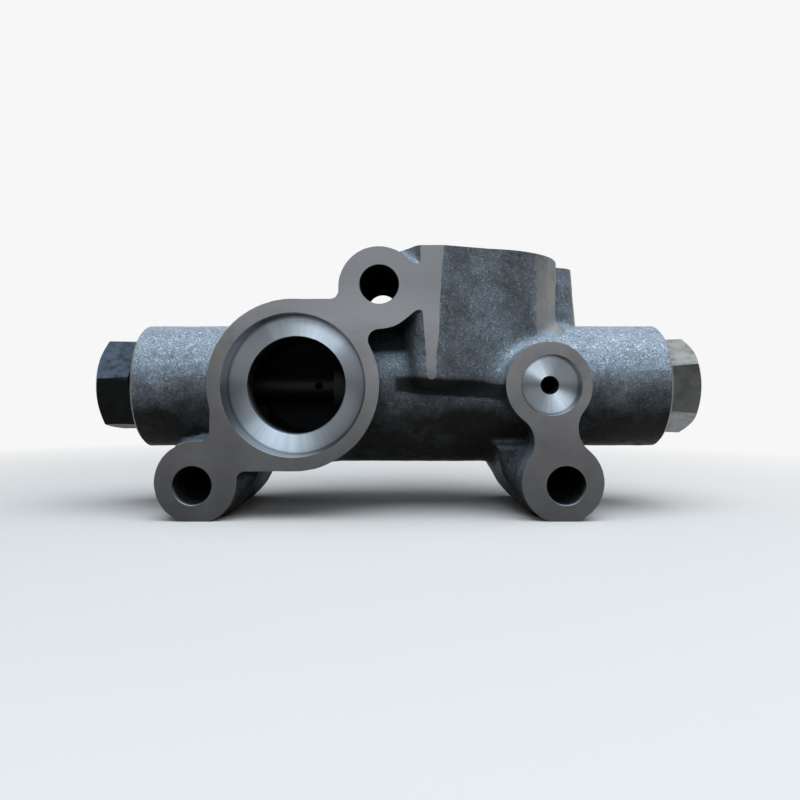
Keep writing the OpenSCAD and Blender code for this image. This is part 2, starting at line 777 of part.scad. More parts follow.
module centre_stop_screw() {
    shank_out = stop_boss_out + copper_washer_t;
    color(steel_colour) stop_screw_frame() {
        translate([0, 0, stop_point_in + 0.1]) cylinder(h = 3.5, r = stop_point_d / 2);
        translate([0, 0, bore_r + 0.3]) cylinder(h = shank_out - bore_r - 0.3, r = stop_screw_d / 2);
        translate([0, 0, shank_out]) hex_head(stop_screw_head, stop_screw_af, 0);
    }
}

module centre_stop_washer() {
    color(copper_colour) stop_screw_frame() translate([0, 0, stop_boss_out]) difference() {
        cylinder(h = copper_washer_t, r = stop_screw_af / 2 + 1);
        translate([0, 0, -1]) cylinder(h = copper_washer_t + 2, r = stop_screw_d / 2 + 0.1);
    }
}

valve_body();
main_plug();
main_plug_seal();
main_shims();
main_spring_outer();
main_spring_inner();
main_spring_seat();
main_spool();
main_orifice();
main_piston();
centre_stop();
centre_stop_seal();
centre_stop_screw();
centre_stop_washer();
converter_piston();
converter_spool();
converter_spring_seat();
converter_spring();
converter_shims();
converter_plug();
converter_plug_seal();
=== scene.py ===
import math
import bmesh
import bpy
import numpy as np
import openvdb
from mathutils import Matrix, Vector


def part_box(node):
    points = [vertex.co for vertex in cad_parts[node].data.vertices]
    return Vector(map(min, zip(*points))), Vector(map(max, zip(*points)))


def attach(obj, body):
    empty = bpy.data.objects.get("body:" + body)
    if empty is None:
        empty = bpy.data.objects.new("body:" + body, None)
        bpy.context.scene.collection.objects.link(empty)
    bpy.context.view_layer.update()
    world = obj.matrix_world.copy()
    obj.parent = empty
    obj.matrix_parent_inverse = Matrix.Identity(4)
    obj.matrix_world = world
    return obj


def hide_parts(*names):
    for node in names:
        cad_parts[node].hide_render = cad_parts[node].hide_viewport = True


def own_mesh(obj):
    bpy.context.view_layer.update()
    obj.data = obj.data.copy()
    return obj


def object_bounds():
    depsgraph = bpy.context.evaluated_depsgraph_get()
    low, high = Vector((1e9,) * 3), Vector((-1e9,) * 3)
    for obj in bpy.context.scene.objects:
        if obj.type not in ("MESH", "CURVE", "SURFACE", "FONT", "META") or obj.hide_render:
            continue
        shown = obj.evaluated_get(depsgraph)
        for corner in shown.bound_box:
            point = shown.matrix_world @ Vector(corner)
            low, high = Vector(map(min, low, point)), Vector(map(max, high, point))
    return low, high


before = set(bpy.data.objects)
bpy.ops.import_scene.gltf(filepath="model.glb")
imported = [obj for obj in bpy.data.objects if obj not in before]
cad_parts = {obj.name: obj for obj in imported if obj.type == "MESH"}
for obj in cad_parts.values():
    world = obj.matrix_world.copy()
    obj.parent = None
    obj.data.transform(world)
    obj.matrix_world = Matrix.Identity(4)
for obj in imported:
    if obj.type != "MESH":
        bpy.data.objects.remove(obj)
cad_box = [list(corner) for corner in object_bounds()]
scene = bpy.context.scene

# Camera: held level with the middle of the mounting face and square to it, close enough
# that the barrel ends behind the face look smaller than the face itself.
eye_distance, seen_half_width = 0.238, 0.13875
camera = bpy.data.objects.new("camera", bpy.data.cameras.new("camera"))
camera.location = (0.0355, -eye_distance, -0.0024)
camera.rotation_euler = (math.radians(90), 0, 0)
camera.data.sensor_width = 36
camera.data.lens = camera.data.sensor_width / 2 * eye_distance / seen_half_width
camera.data.shift_x = 0.00625
camera.data.shift_y = -0.01
camera.data.clip_start = 0.01
scene.collection.objects.link(camera)
scene.camera = camera


# Studio: a pale bench top that runs up into a pale backdrop, a broad cool lamp overhead like
# a skylight, and a small bright window up in front of it.
def add_node(tree, kind, settings=None, **inputs):
    """A node with inputs set or linked. They are numbered as _0, or named with __ for a space."""
    made = tree.nodes.new(kind)
    for key, value in (settings or {}).items():
        setattr(made, key, value)
    for key, value in inputs.items():
        socket = made.inputs[int(key[1:]) if key[0] == "_" else key.replace("__", " ")]
        if isinstance(value, bpy.types.NodeSocket):
            tree.links.new(value, socket)
        else:
            socket.default_value = value
    return made


def math_node(tree, operation, *values, clamp=False):
    inputs = {f"_{i}": v for i, v in enumerate(values)}
    settings = {"operation": operation, "use_clamp": clamp}
    return add_node(tree, "ShaderNodeMath", settings, **inputs).outputs[0]


def times(tree, one, other, clamp=False):
    return math_node(tree, "MULTIPLY", one, other, clamp=clamp)


def scaled(tree, value, slope, start, clamp=False):
    """The value times slope, plus start."""
    return math_node(tree, "MULTIPLY_ADD", value, slope, start, clamp=clamp)


def ramp(tree, factor, *stops):
    """Colours or greys that follow a value, each stop a place and a colour."""
    made = add_node(tree, "ShaderNodeValToRGB", Fac=factor)
    while len(made.color_ramp.elements) < len(stops):
        made.color_ramp.elements.new(0.5)
    for element, (at, colour) in zip(made.color_ramp.elements, stops):
        element.position = at
        element.color = (*(colour if isinstance(colour, tuple) else (colour,) * 3), 1)
    return made.outputs[0]


bench_z = cad_box[0][2]
bench_front, bench_back, bench_half_width = -1.5, 0.9, 2.4
sweep_r, backdrop_top = 0.5, 2.2
bench_mesh = bmesh.new()
sweep = [(bench_front, 0.0), (bench_back, 0.0)]
sweep += [(bench_back + sweep_r * math.sin(a), sweep_r - sweep_r * math.cos(a))
          for a in np.radians(range(6, 91, 6))]
sweep += [(bench_back + sweep_r, backdrop_top)]
rows = [[bench_mesh.verts.new((x, y, bench_z + z)) for y, z in sweep]
        for x in (-bench_half_width, bench_half_width)]
for k in range(len(sweep) - 1):
    bench_mesh.faces.new([rows[0][k], rows[1][k], rows[1][k + 1], rows[0][k + 1]])
bench = bpy.data.objects.new("bench", bpy.data.meshes.new("bench"))
bench_mesh.to_mesh(bench.data)
for face in bench.data.polygons:
    face.use_smooth = True
scene.collection.objects.link(bench)

pale = (0.93, 0.93, 0.93, 1)
bench_paint = bpy.data.materials.new("bench paint")
bench_paint.use_nodes = True
tree = bench_paint.node_tree
tree.nodes.clear()
place = add_node(tree, "ShaderNodeTexCoord").outputs["Object"]
reach = add_node(tree, "ShaderNodeVectorMath", {"operation": "LENGTH"}, _0=place).outputs["Value"]
# The paint shows its shadows near the valve and runs out into plain pale further off.
far = scaled(tree, reach, 3.5, -0.45, clamp=True)
lit = add_node(tree, "ShaderNodeBsdfDiffuse", Color=(0.93, 0.89, 0.85, 1))
glow = add_node(tree, "ShaderNodeEmission", Color=pale, Strength=1.0)
shown = add_node(tree, "ShaderNodeMixShader", _0=far, _1=lit.outputs[0], _2=glow.outputs[0])
bounce = add_node(tree, "ShaderNodeBsdfDiffuse", Color=(0.08, 0.075, 0.07, 1))
path = add_node(tree, "ShaderNodeLightPath").outputs
seen = math_node(tree, "MAXIMUM", path["Is Camera Ray"], path["Is Glossy Ray"])
seen = math_node(tree, "MAXIMUM", seen, path["Is Transmission Ray"])
both = add_node(tree, "ShaderNodeMixShader", _0=seen, _1=bounce.outputs[0], _2=shown.outputs[0])
add_node(tree, "ShaderNodeOutputMaterial", Surface=both.outputs[0])
bench.data.materials.append(bench_paint)

room = bpy.data.worlds.new("room")
scene.world = room
room.use_nodes = True
tree = room.node_tree
tree.nodes.clear()
way = add_node(tree, "ShaderNodeTexCoord").outputs["Generated"]
way = add_node(tree, "ShaderNodeSeparateXYZ", _0=way).outputs
height = scaled(tree, way["Z"], 0.5, 0.5)
shades = ramp(tree, height, (0.0, (0.012, 0.01, 0.008)), (0.43, (0.03, 0.027, 0.024)),
              (0.5, (0.10, 0.098, 0.096)), (0.57, (0.27, 0.27, 0.275)), (0.7, (0.20, 0.22, 0.24)),
              (1.0, (0.20, 0.24, 0.28)))
soft = add_node(tree, "ShaderNodeBackground", Color=shades, Strength=1.0)
plain = add_node(tree, "ShaderNodeBackground", Color=pale, Strength=1.0)
path = add_node(tree, "ShaderNodeLightPath").outputs
mirrored = math_node(tree, "MAXIMUM", path["Is Glossy Ray"], path["Is Transmission Ray"])
mirrored = times(tree, mirrored, times(tree, way["Y"], 4.0, clamp=True))
seen = math_node(tree, "MAXIMUM", path["Is Camera Ray"], mirrored)
mixed = add_node(tree, "ShaderNodeMixShader", _0=seen, _1=soft.outputs[0], _2=plain.outputs[0])
add_node(tree, "ShaderNodeOutputWorld", Surface=mixed.outputs[0])

for name, at, aim, size, watts, colour in (
        ("skylight", (0.15, -0.25, 0.80), (0.03, 0.02, 0), (1.2, 0.9), 8.3, (0.84, 0.92, 1.0)),
        ("window", (0.03, -0.85, 0.27), (0.03, 0, 0), (0.3, 0.2), 0.85, (0.78, 0.89, 1.0))):
    lamp = bpy.data.lights.new(name, "AREA")
    lamp.shape = "RECTANGLE"
    lamp.size, lamp.size_y = size
    lamp.energy = watts
    lamp.color = colour
    holder = bpy.data.objects.new(name, lamp)
    holder.location = at
    holder.rotation_euler = (Vector(aim) - Vector(at)).to_track_quat("-Z", "Y").to_euler()
    holder.visible_camera = False
    scene.collection.objects.link(holder)


# Valve body: one grey iron casting, sand moulded with its oil chambers cored in, so every
# outside wall is grainy with soft fillets. Lengths in this section are in millimetres.

# The iron is worked out on a grid of cells, each with its distance to the skin, less than zero
# inside. X, Y and Z are the places of the cells.
cell = 0.95
corner = np.array([-65.0, -5.0, -54.0])
counts = (217, 91, 115)
X = (corner[0] + cell * np.arange(counts[0], dtype=np.float32))[:, None, None]
Y = (corner[1] + cell * np.arange(counts[1], dtype=np.float32))[None, :, None]
Z = (corner[2] + cell * np.arange(counts[2], dtype=np.float32))[None, None, :]
axis_depth = 33.0  # of the bore, behind the mounting face


def rounded(d, e, r):
    """What lies inside both d and e, its edge rounded to radius r."""
    return (np.minimum(np.maximum(d, e) + r, 0)
            + np.hypot(np.maximum(d + r, 0), np.maximum(e + r, 0)) - r)


def filleted(a, b, r):
    """a and b as one casting, with a hollow fillet of radius r between them."""
    return np.maximum(r, np.minimum(a, b)) - np.hypot(np.maximum(r - a, 0), np.maximum(r - b, 0))


def bar_x(x0, x1, r, edge):
    """Round bar along the bore, its ends rounded to radius edge."""
    return rounded(np.hypot(Y - axis_depth, Z) - r, np.maximum(x0 - X, X - x1), edge)


def bar_y(at, r, y0, y1, edge):
    """Round bar square to the mounting face."""
    return rounded(np.hypot(X - at[0], Z - at[1]) - r, np.maximum(y0 - Y, Y - y1), edge)


def bar_z(at, r, z0, z1, edge):
    """Upright round bar."""
    return rounded(np.hypot(X - at[0], Y - at[1]) - r, np.maximum(z0 - Z, Z - z1), edge)


def outline(points, u, v):
    """Distance to a closed outline, less than zero inside it."""
    near = np.full(np.broadcast(u, v).shape, 1e9, dtype=np.float32)
    inside = np.zeros(near.shape, dtype=bool)
    for (ax, ay), (bx, by) in zip(points, points[1:] + points[:1]):
        ex, ey = bx - ax, by - ay
        t = np.clip(((u - ax) * ex + (v - ay) * ey) / (ex * ex + ey * ey), 0, 1)
        near = np.minimum(near, (u - ax - t * ex) ** 2 + (v - ay - t * ey) ** 2)
        if ey:
            crossing = ((ay > v) != (by > v)) & (u < ax + ex * (v - ay) / ey)
            inside ^= crossing
    return np.where(inside, -1, 1) * np.sqrt(near)


def fillet_centre(c1, r1, c2, r2, rf, side):
    """Centre of the fillet that touches two circles on one side of the line between them."""
    c1, c2 = np.array(c1), np.array(c2)
    d = np.linalg.norm(c2 - c1)
    u = (c2 - c1) / d
    a = ((r1 + rf) ** 2 - (r2 + rf) ** 2 + d * d) / (2 * d)
    h = math.sqrt((r1 + rf) ** 2 - a * a)
    return c1 + a * u + side * h * np.array([-u[1], u[0]])


def web(c1, r1, c2, r2, rf, side):
    """Flat web between two round bosses, hollowed by one fillet."""
    cf = fillet_centre(c1, r1, c2, r2, rf, side)
    flat = outline([tuple(c1), tuple(c2), tuple(cf)], X[:, :, 0], Z[0, :, :])
    return np.maximum(flat, rf - np.hypot(X[:, :, 0] - cf[0], Z[0, :, :] - cf[1]))


def crook(boss, wall, rf, u, v):
    """Web from the ring to a boss: a straight wall that ends in a hollow of radius rf round it."""
    side = math.copysign(1, boss[0])
    hollow = (boss[0] - side * math.sqrt((boss_r + rf) ** 2 - (wall + rf - boss[1]) ** 2), wall + rf)
    flat = outline([(0, 0), boss, hollow, (hollow[0], wall), (0, wall)], u, v)
    return np.maximum(flat, rf - np.hypot(u - hollow[0], v - hollow[1]))


ring_r, boss_r, pilot_r = 30.0, 14.3, 15.1
ring, pilot_boss = (0.0, 0.0), (89.1, 0.0)
left_boss, right_boss, top_boss = (-33.9, -33.9), (93.9, -33.9), (30.0, 33.9)
left_hole, right_hole, top_hole = (-35.0, -35.0), (95.0, -35.0), (30.0, 35.0)
lower_column, top_column = 60, 76
skim = 4  # iron in front of the mounting face, milled off
foot_z, block_low, block_top, block_back = -47.4, -1.5, 48.6, 73.4
barrel_left, barrel_right, barrel_r = -60.6, 136.4, 23.5
bulge_left, bulge_right, bulge_r, bulge_back = -24, 84, 30.0, 4.6
outlet, drain = (57, 39.4), (88, 39.4)
ear_x, ear_y, ear_top_r = 101, 52.5, 8.5
stop_x, stop_boss_r = 52.4, 9.5

# Front: the ring and the bosses with the webs between them, and the columns behind them.
bosses = ((ring, ring_r, axis_depth), (pilot_boss, pilot_r, axis_depth),
          (left_boss, boss_r, lower_column + 1), (right_boss, boss_r, lower_column + 1),
          (top_boss, boss_r, top_column + 1))
u, v = X[:, :, 0], Z[0, :, :]
face_plan = np.minimum.reduce([np.hypot(u - at[0], v - at[1]) - r for at, r, depth in bosses] + [
    web(ring, ring_r, top_boss, boss_r, 4, -1), crook(top_boss, ring_r, 3, u, v),
    crook((33.9, 33.9), ring_r, 3, -u, -v), crook((-33.9, 33.9), ring_r - 1, 3.5, v, -u),
    web(pilot_boss, pilot_r, right_boss, boss_r, 10, 1),
    web(pilot_boss, pilot_r, right_boss, boss_r, 10, -1)])[:, None, :]
front = rounded(face_plan, np.maximum(-skim - Y, Y - 14), 1.5)
behind_webs = np.clip((Y - 11.5) * 0.8, 0, 2.5)
for at, r, depth in bosses:
    front = filleted(front, bar_y(at, r, -skim, depth, 0.5), behind_webs)

# Barrel with its thicker middle, and the gussets that carry it on the lower columns.
middle = rounded(np.hypot(Y - axis_depth - bulge_back, Z) - bulge_r,
                 np.maximum(bulge_left - X, X - bulge_right), 2.5)
casting = filleted(bar_x(barrel_left - 1.4, barrel_right + 1.6, barrel_r, 0.5), middle, 4)
gusset = [(-10, -33.9), (0, -49.4), (5.2, -49.4), (14.2, -40.5), (19.3, -32.5), (22, -21.5),
          (-10, -21.5)]
for boss, way in ((left_boss, 1), (right_boss, -1)):
    flat = outline(gusset, way * (X[:, :, 0] - boss[0]), Z[0, :, :])[:, None, :]
    casting = filleted(casting, rounded(flat, np.maximum(10 - Y, Y - 59), 2), 3.5)

# Port block: its plan has a flat left side, a small nose at the front and a round right side,
# and each layer further down is set back a little, for the draft of the mould.
round_x, round_y, round_r = 63.0, 43.0, 37.4
nose_x, nose_y, nose_r = 48.1, 5.74, 7.0
block_left, block_turn, front_draft = 37, math.radians(-77), math.radians(1.3)
end_x, end_y = round_x + 37.0 * math.cos(block_turn), round_y + 37.0 * math.sin(block_turn)
u, v = X[:, :, 0], Y[:, :, 0]
plan = outline([(block_left, block_back), (block_left, 12),
                (nose_x - nose_r * 0.7071, nose_y - nose_r * 0.7071),
                (nose_x, nose_y), (nose_x + nose_r * 0.2706, nose_y - nose_r * 0.9627),
                (end_x, end_y), (round_x, round_y), (75, block_back)], u, v)
plan = np.minimum(plan, np.hypot(u - nose_x, v - nose_y) - nose_r)
plan = np.minimum(plan, np.maximum(np.hypot(u - round_x, v - round_y) - round_r,
                                   np.maximum(43 - u, v - 74)))
lean = (block_top - Z[0, 0, :]) * math.tan(front_draft) / cell
block = np.empty(counts, dtype=np.float32)
for k, shift in enumerate(lean):
    whole = int(math.floor(shift))
    part = shift - whole
    block[:, :, k] = ((1 - part) * np.roll(plan, whole, axis=1)
                      + part * np.roll(plan, whole + 1, axis=1))
block[:, :4, :] = np.maximum(block[:, :4, :], block[:, 4:5, :])
above_top = Z - block_top - 1.9
block = np.maximum(rounded(block, block_low - Z, 4.5), above_top)
ear_r = ear_top_r + (block_top - Z) * math.tan(math.radians(4.8))
ear = np.minimum(np.hypot(X - ear_x, Y - ear_y) - ear_r,
                 np.maximum(np.maximum(84 - X, X - ear_x), np.abs(Y - ear_y) - ear_top_r))
casting = filleted(casting, np.maximum(rounded(ear, 1.5 - Z, 2), above_top), 5)
casting = filleted(casting, block, 2.5)
casting = filleted(casting, front, 3.5)

# Boss of the stop screw, square to the bore and tilted down at the back.
tilt = math.radians(30)
out = (Y - axis_depth) * math.cos(tilt) - Z * math.sin(tilt)
side = (Y - axis_depth) * math.sin(tilt) + Z * math.cos(tilt)
bulge_out = math.sqrt(bulge_r ** 2 - (bulge_back * math.sin(tilt)) ** 2)
stop_out = bulge_back * math.cos(tilt) + bulge_out + 1.5
stop_boss = rounded(np.hypot(X - stop_x, side) - stop_boss_r, np.maximum(14 - out, out - stop_out - 1),
                    0.5)
casting = filleted(casting, stop_boss, 2.5)

# Cored chambers: behind the main port, three rings round the bore, the gallery that joins two of
# them, and one under each port in the top face.
chamber_r = 19
ring_chambers = ((27, 38), (64, 75), (83, 97))
cored = bar_y(ring, chamber_r, 17, 47, 3)
for x0, x1 in ring_chambers:
    cored = filleted(cored, bar_x(x0, x1, chamber_r, 1.5), 0.8)
gallery = rounded(np.hypot(Y - 38, Z - 20.1) - 6, np.maximum(33 - X, X - 72), 2)
cored = np.minimum(cored, gallery)
cored = np.minimum(cored, bar_z(outlet, 12, 16.5, 27.1, 2))
cored = np.minimum(cored, bar_z(drain, 10, 14.5, 27.1, 2))
casting = rounded(casting, -cored, 1.0)

rng = np.random.default_rng(7)


def lumps(step, depth):
    """Soft random lumps about one step across, as sand leaves on iron."""
    field = rng.uniform(-depth, depth, [int(n * cell / step) + 3 for n in counts]).astype(np.float32)
    for side_no, n in enumerate(counts):
        at = np.arange(n) * cell / step
        low = at.astype(int)
        part = (at - low).astype(np.float32)
        part = (part * part * (3 - 2 * part)).reshape([-1 if k == side_no else 1 for k in range(3)])
        field = (np.take(field, low, axis=side_no) * (1 - part)
                 + np.take(field, low + 1, axis=side_no) * part)
    return field


# The skin lies a little inside the drawn one, so that no lump stands proud of it.
casting = casting + lumps(1.9, 0.06) + lumps(5.0, 0.11) + 0.08
grid = openvdb.FloatGrid(1e3)
grid.copyFromArray(np.ascontiguousarray(casting.astype(np.float32)))
points, triangles, quads = grid.convertToPolygons(isovalue=0.0, adaptivity=0.0)
points = (points * cell + corner) / 1000
body = bpy.data.objects.new("body_casting", bpy.data.meshes.new("body_casting"))
body.data.from_pydata(points.tolist(), [], triangles.tolist() + quads.tolist())
scene.collection.objects.link(body)

# Machining: the faces are milled, the port recesses turned, and the holes drilled and bored.
cast_iron = bpy.data.materials.new("cast iron")
milled_iron = bpy.data.materials.new("milled iron")
turned_iron = bpy.data.materials.new("turned iron")
drilled_iron = bpy.data.materials.new("drilled iron")
for made in (cast_iron, milled_iron, turned_iron, drilled_iron):
    made.use_nodes = True
    body.data.materials.append(made)


def added(shape, name, paint):
    """Puts a finished mesh into the scene with its material."""
    made = bpy.data.objects.new(name, bpy.data.meshes.new(name))
    shape.to_mesh(made.data)
    shape.free()
    made.data.materials.append(paint)
    scene.collection.objects.link(made)
    return made


def laid(shape, centre, way):
    """Turns a mesh drawn in millimetres along Z to lie along way through centre, in metres."""
    bmesh.ops.recalc_face_normals(shape, faces=shape.faces)
    turn = Vector((0, 0, 1)).rotation_difference(Vector(way))
    shape.transform(Matrix.Translation(Vector(centre) / 1000) @ turn.to_matrix().to_4x4()
                    @ Matrix.Scale(0.001, 4))
    return shape


def lathe(name, profile, centre, way, paint, sides=96):
    """A closed solid turned about the line through centre. Profile holds (along, radius) in mm."""
    shape = bmesh.new()
    rings = []
    for along, r in profile:
        if r < 1e-6:
            rings.append([shape.verts.new((0, 0, along))])
        else:
            rings.append([shape.verts.new((r * math.cos(2 * math.pi * k / sides),
                                           r * math.sin(2 * math.pi * k / sides), along))
                          for k in range(sides)])
    for low_ring, high_ring in zip(rings, rings[1:]):
        for k in range(sides):
            j = (k + 1) % sides
            corners = [low_ring[k % len(low_ring)], low_ring[j % len(low_ring)],
                       high_ring[j % len(high_ring)], high_ring[k % len(high_ring)]]
            corners = list(dict.fromkeys(corners))
            if len(corners) > 2:
                shape.faces.new(corners)
    for face in shape.faces:
        face.smooth = True
    return added(laid(shape, centre, way), name, paint)


def box_tool(name, low, high, paint):
    shape = bmesh.new()
    bmesh.ops.create_cube(shape, size=1)
    low, high = Vector(low) / 1000, Vector(high) / 1000
    for vert in shape.verts:
        vert.co = Vector([low[k] if vert.co[k] < 0 else high[k] for k in range(3)])
    return added(shape, name, paint)


def settle(target):
    """Keeps what the modifiers make as a plain mesh."""
    made = target.evaluated_get(bpy.context.evaluated_depsgraph_get())
    made = bpy.data.meshes.new_from_object(made)
    target.modifiers.clear()
    target.data = made


def cut(target, *passes):
    """Takes the tools out of the target, pass by pass, and leaves each tool's finish on its faces."""
    for tools in passes:
        joined = bmesh.new()
        finishes = []
        for tool in tools:
            first = len(joined.faces)
            joined.from_mesh(tool.data)
            joined.faces.ensure_lookup_table()
            if tool.data.materials[0] not in finishes:
                finishes.append(tool.data.materials[0])
            for face in joined.faces[first:]:
                face.material_index = finishes.index(tool.data.materials[0])
        for tool in tools[1:]:
            bpy.data.objects.remove(tool)
        tools[0].data.materials.clear()
        for finish in finishes:
            tools[0].data.materials.append(finish)
        joined.to_mesh(tools[0].data)
        joined.free()
        step = target.modifiers.new("cut", "BOOLEAN")
        step.operation = "DIFFERENCE"
        step.solver = "MANIFOLD"
        step.object = tools[0]
        step.material_mode = "TRANSFER"
    settle(target)
    for tools in passes:
        bpy.data.objects.remove(tools[0])


def drilled(r, chamfer, depth):
    """Profile of a drilled hole, from a little way out in front of its face."""
    return [(-6, 0), (-6, r + chamfer), (0, r + chamfer), (chamfer, r), (depth, r), (depth, 0)]


def disc(start, end, r):
    """Profile of a plain round cutter."""
    return [(start, 0), (start, r), (end, r), (end, 0)]


back, down, right = (0, 1, 0), (0, 0, -1), (1, 0, 0)
main_port, pilot_port, bore_line = (0, 0, 0), (90, 0, 0), (0, axis_depth, 0)
stop_way, stop_at = (0, math.cos(tilt), -math.sin(tilt)), (stop_x, axis_depth, 0)
recess_r, recess_depth, port_hole_r = 25, 9, 17.5
pilot_recess_r, pilot_recess_depth, pilot_hole_r = 10.5, 3.5, 3
bolt_hole_r, bore_r, thread_bore_r, seal_recess_r = 6.75, 12.5, 15.1, 17.0

faces = [box_tool("face", (-70, -10, -60), (145, 0, 60), milled_iron)]
flats = [box_tool("top", (-70, -10, block_top), (145, 90, 70), milled_iron),
         box_tool("feet", (-70, -10, -70), (145, 90, foot_z), milled_iron)]
holes = [
    lathe("recess", [(-6, 0), (-6, recess_r + 0.25), (0, recess_r + 0.25), (0.25, recess_r),
                     (recess_depth, recess_r), (recess_depth, 10), (5, 10), (5, 0)],
          main_port, back, turned_iron, 160),
    lathe("pilot recess", [(-6, 0), (-6, pilot_recess_r + 0.2), (0, pilot_recess_r + 0.2),
                           (0.2, pilot_recess_r), (pilot_recess_depth, pilot_recess_r),
                           (pilot_recess_depth, 1.5), (2, 1.5), (2, 0)],
          pilot_port, back, turned_iron),
    lathe("top hole", drilled(bolt_hole_r, 0.2, 80), (top_hole[0], 0, top_hole[1]), back, drilled_iron),
    lathe("outlet", drilled(11, 0.6, 30), (*outlet, block_top), down, drilled_iron),
    lathe("drain", drilled(9, 0.6, 30), (*drain, block_top), down, drilled_iron)]
deeper = [
    lathe("port hole", [(3, 0), (3, 19.1), (recess_depth, port_hole_r + 0.3),
                        (recess_depth + 0.3, port_hole_r), (21, port_hole_r), (21, 0)],
          main_port, back, drilled_iron),
    lathe("pilot hole", [(1, 0), (1, 4), (pilot_recess_depth, pilot_hole_r + 0.3),
                         (pilot_recess_depth + 0.3, pilot_hole_r), (34, pilot_hole_r), (34, 0)],
          pilot_port, back, drilled_iron)]
# The bore, opened out at both ends for a plug's thread and its seal.
bore_profile = [(-64, 0), (-64, seal_recess_r), (-58.6, seal_recess_r), (-58.2, thread_bore_r),
                (-44.6, thread_bore_r), (-44.2, bore_r), (120.0, bore_r), (120.4, thread_bore_r),
                (134.0, thread_bore_r), (134.4, seal_recess_r), (140, seal_recess_r), (140, 0)]
bores = [lathe("bore", bore_profile, bore_line, right, drilled_iron),
         lathe("top back", disc(top_column, 82, 17), (30, 0, 34), back, milled_iron)]
ends = [
    lathe("left end", [(barrel_left, 0), (barrel_left, 22.6), (barrel_left + 1.4, 24),
                       (barrel_left + 1.4, 30), (-66, 30), (-66, 0)], bore_line, right, milled_iron),
    lathe("right end", [(142, 0), (142, 30), (barrel_right - 1.4, 30), (barrel_right - 1.4, 24),
                        (barrel_right, 22.6), (barrel_right, 0)], bore_line, right, milled_iron),
    lathe("stop face", disc(stop_out, stop_out + 9, 12), stop_at, stop_way, milled_iron)]
for hole in (left_hole, right_hole):
    at = (hole[0], 0, hole[1])
    holes.append(lathe("bolt hole", drilled(bolt_hole_r, 0.2, 66), at, back, drilled_iron))
    bores.append(lathe("boss back", disc(lower_column, 68, 18), at, back, milled_iron))
    ends.append(lathe("spot face", disc(lower_column - 1.2, 66, 11.75), at, back, milled_iron))
tap_pitch, tap_r, tap_deep_r = 1.5, 4.3, 4.95
tapped_holes = ((46.5, 18.5), (ear_x, ear_y), (46.5, 64))
for at in tapped_holes:
    thread = [(-4, 0), (-4, 5.2), (0, 5.2)]
    for k in range(11):
        thread += [(0.6 + tap_pitch * k, tap_r), (1.35 + tap_pitch * k, tap_deep_r)]
    holes.append(lathe("tapped", thread + [(17.2, 4.25), (18, 4.25), (18, 0)], (*at, block_top), down,
                       drilled_iron, 48))
stop_hole = [lathe("stop hole", disc(11, 50, 4.05), stop_at, stop_way, drilled_iron)]
cut(body, faces, flats, holes, deeper, bores, ends, stop_hole)


def crisp(piece, degrees=32):
    """Smooth faces, with sharp edges where the surface turns or its finish changes."""
    shape = bmesh.new()
    shape.from_mesh(piece.data)
    limit = math.radians(degrees)
    for face in shape.faces:
        face.smooth = True
    for edge in shape.edges:
        pair = edge.link_faces
        edge.smooth = not (len(pair) == 2 and (pair[0].material_index != pair[1].material_index
                                               or edge.calc_face_angle(0) > limit))
    shape.to_mesh(piece.data)
    shape.free()


crisp(body)
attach(body, "housing")
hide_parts("valve_body")


def shader_of(paint, metal=0.0, rough=0.5):
    """The material's own shader with its plain values set."""
    paint.use_nodes = True
    made = paint.node_tree.nodes["Principled BSDF"]
    made.inputs["Roughness"].default_value = rough
    made.inputs["Metallic"].default_value = metal
    return made


def group_sockets(group, wanted, made):
    """Gives a node group its inputs and outputs, and the nodes inside that hold them."""
    for name, kind, value in wanted:
        socket = group.interface.new_socket(name, in_out="INPUT", socket_type=kind)
        socket.default_value = value
    for name, kind in made:
        group.interface.new_socket(name, in_out="OUTPUT", socket_type=kind)
    return (group.nodes.new("NodeGroupInput").outputs, group.nodes.new("NodeGroupOutput").inputs)


def spot(tree):
    """Where a point is on the piece, as one vector and as its X, Y and Z in metres."""
    place = add_node(tree, "ShaderNodeTexCoord").outputs["Object"]
    return place, add_node(tree, "ShaderNodeSeparateXYZ", _0=place).outputs


def facing(tree):
    """X, Y and Z of the way the surface faces."""
    normal = add_node(tree, "ShaderNodeNewGeometry").outputs["Normal"]
    return add_node(tree, "ShaderNodeSeparateXYZ", _0=normal).outputs


def tinted(tree, factor, base, other, blend="MIX"):
    """The base colour with the other one mixed over it or multiplied in."""
    settings = {"data_type": "RGBA", "blend_type": blend}
    return add_node(tree, "ShaderNodeMix", settings, _0=factor, _6=base, _7=other).outputs[2]


def within(tree, socket, low, high, soft):
    """1 between low and high, fading over soft beyond them, all in metres."""
    past = math_node(tree, "SUBTRACT", socket, low)
    left = math_node(tree, "SUBTRACT", high, socket)
    edge = math_node(tree, "MINIMUM", past, left)
    return scaled(tree, edge, 1 / soft, 1.0, clamp=True)


def off_line(tree, x, y, z):
    """How far a point is from a line, from its offsets square to that line."""
    offset = add_node(tree, "ShaderNodeCombineXYZ", _0=x, _1=y, _2=z).outputs[0]
    length = add_node(tree, "ShaderNodeVectorMath", {"operation": "LENGTH"}, _0=offset)
    return length.outputs["Value"]


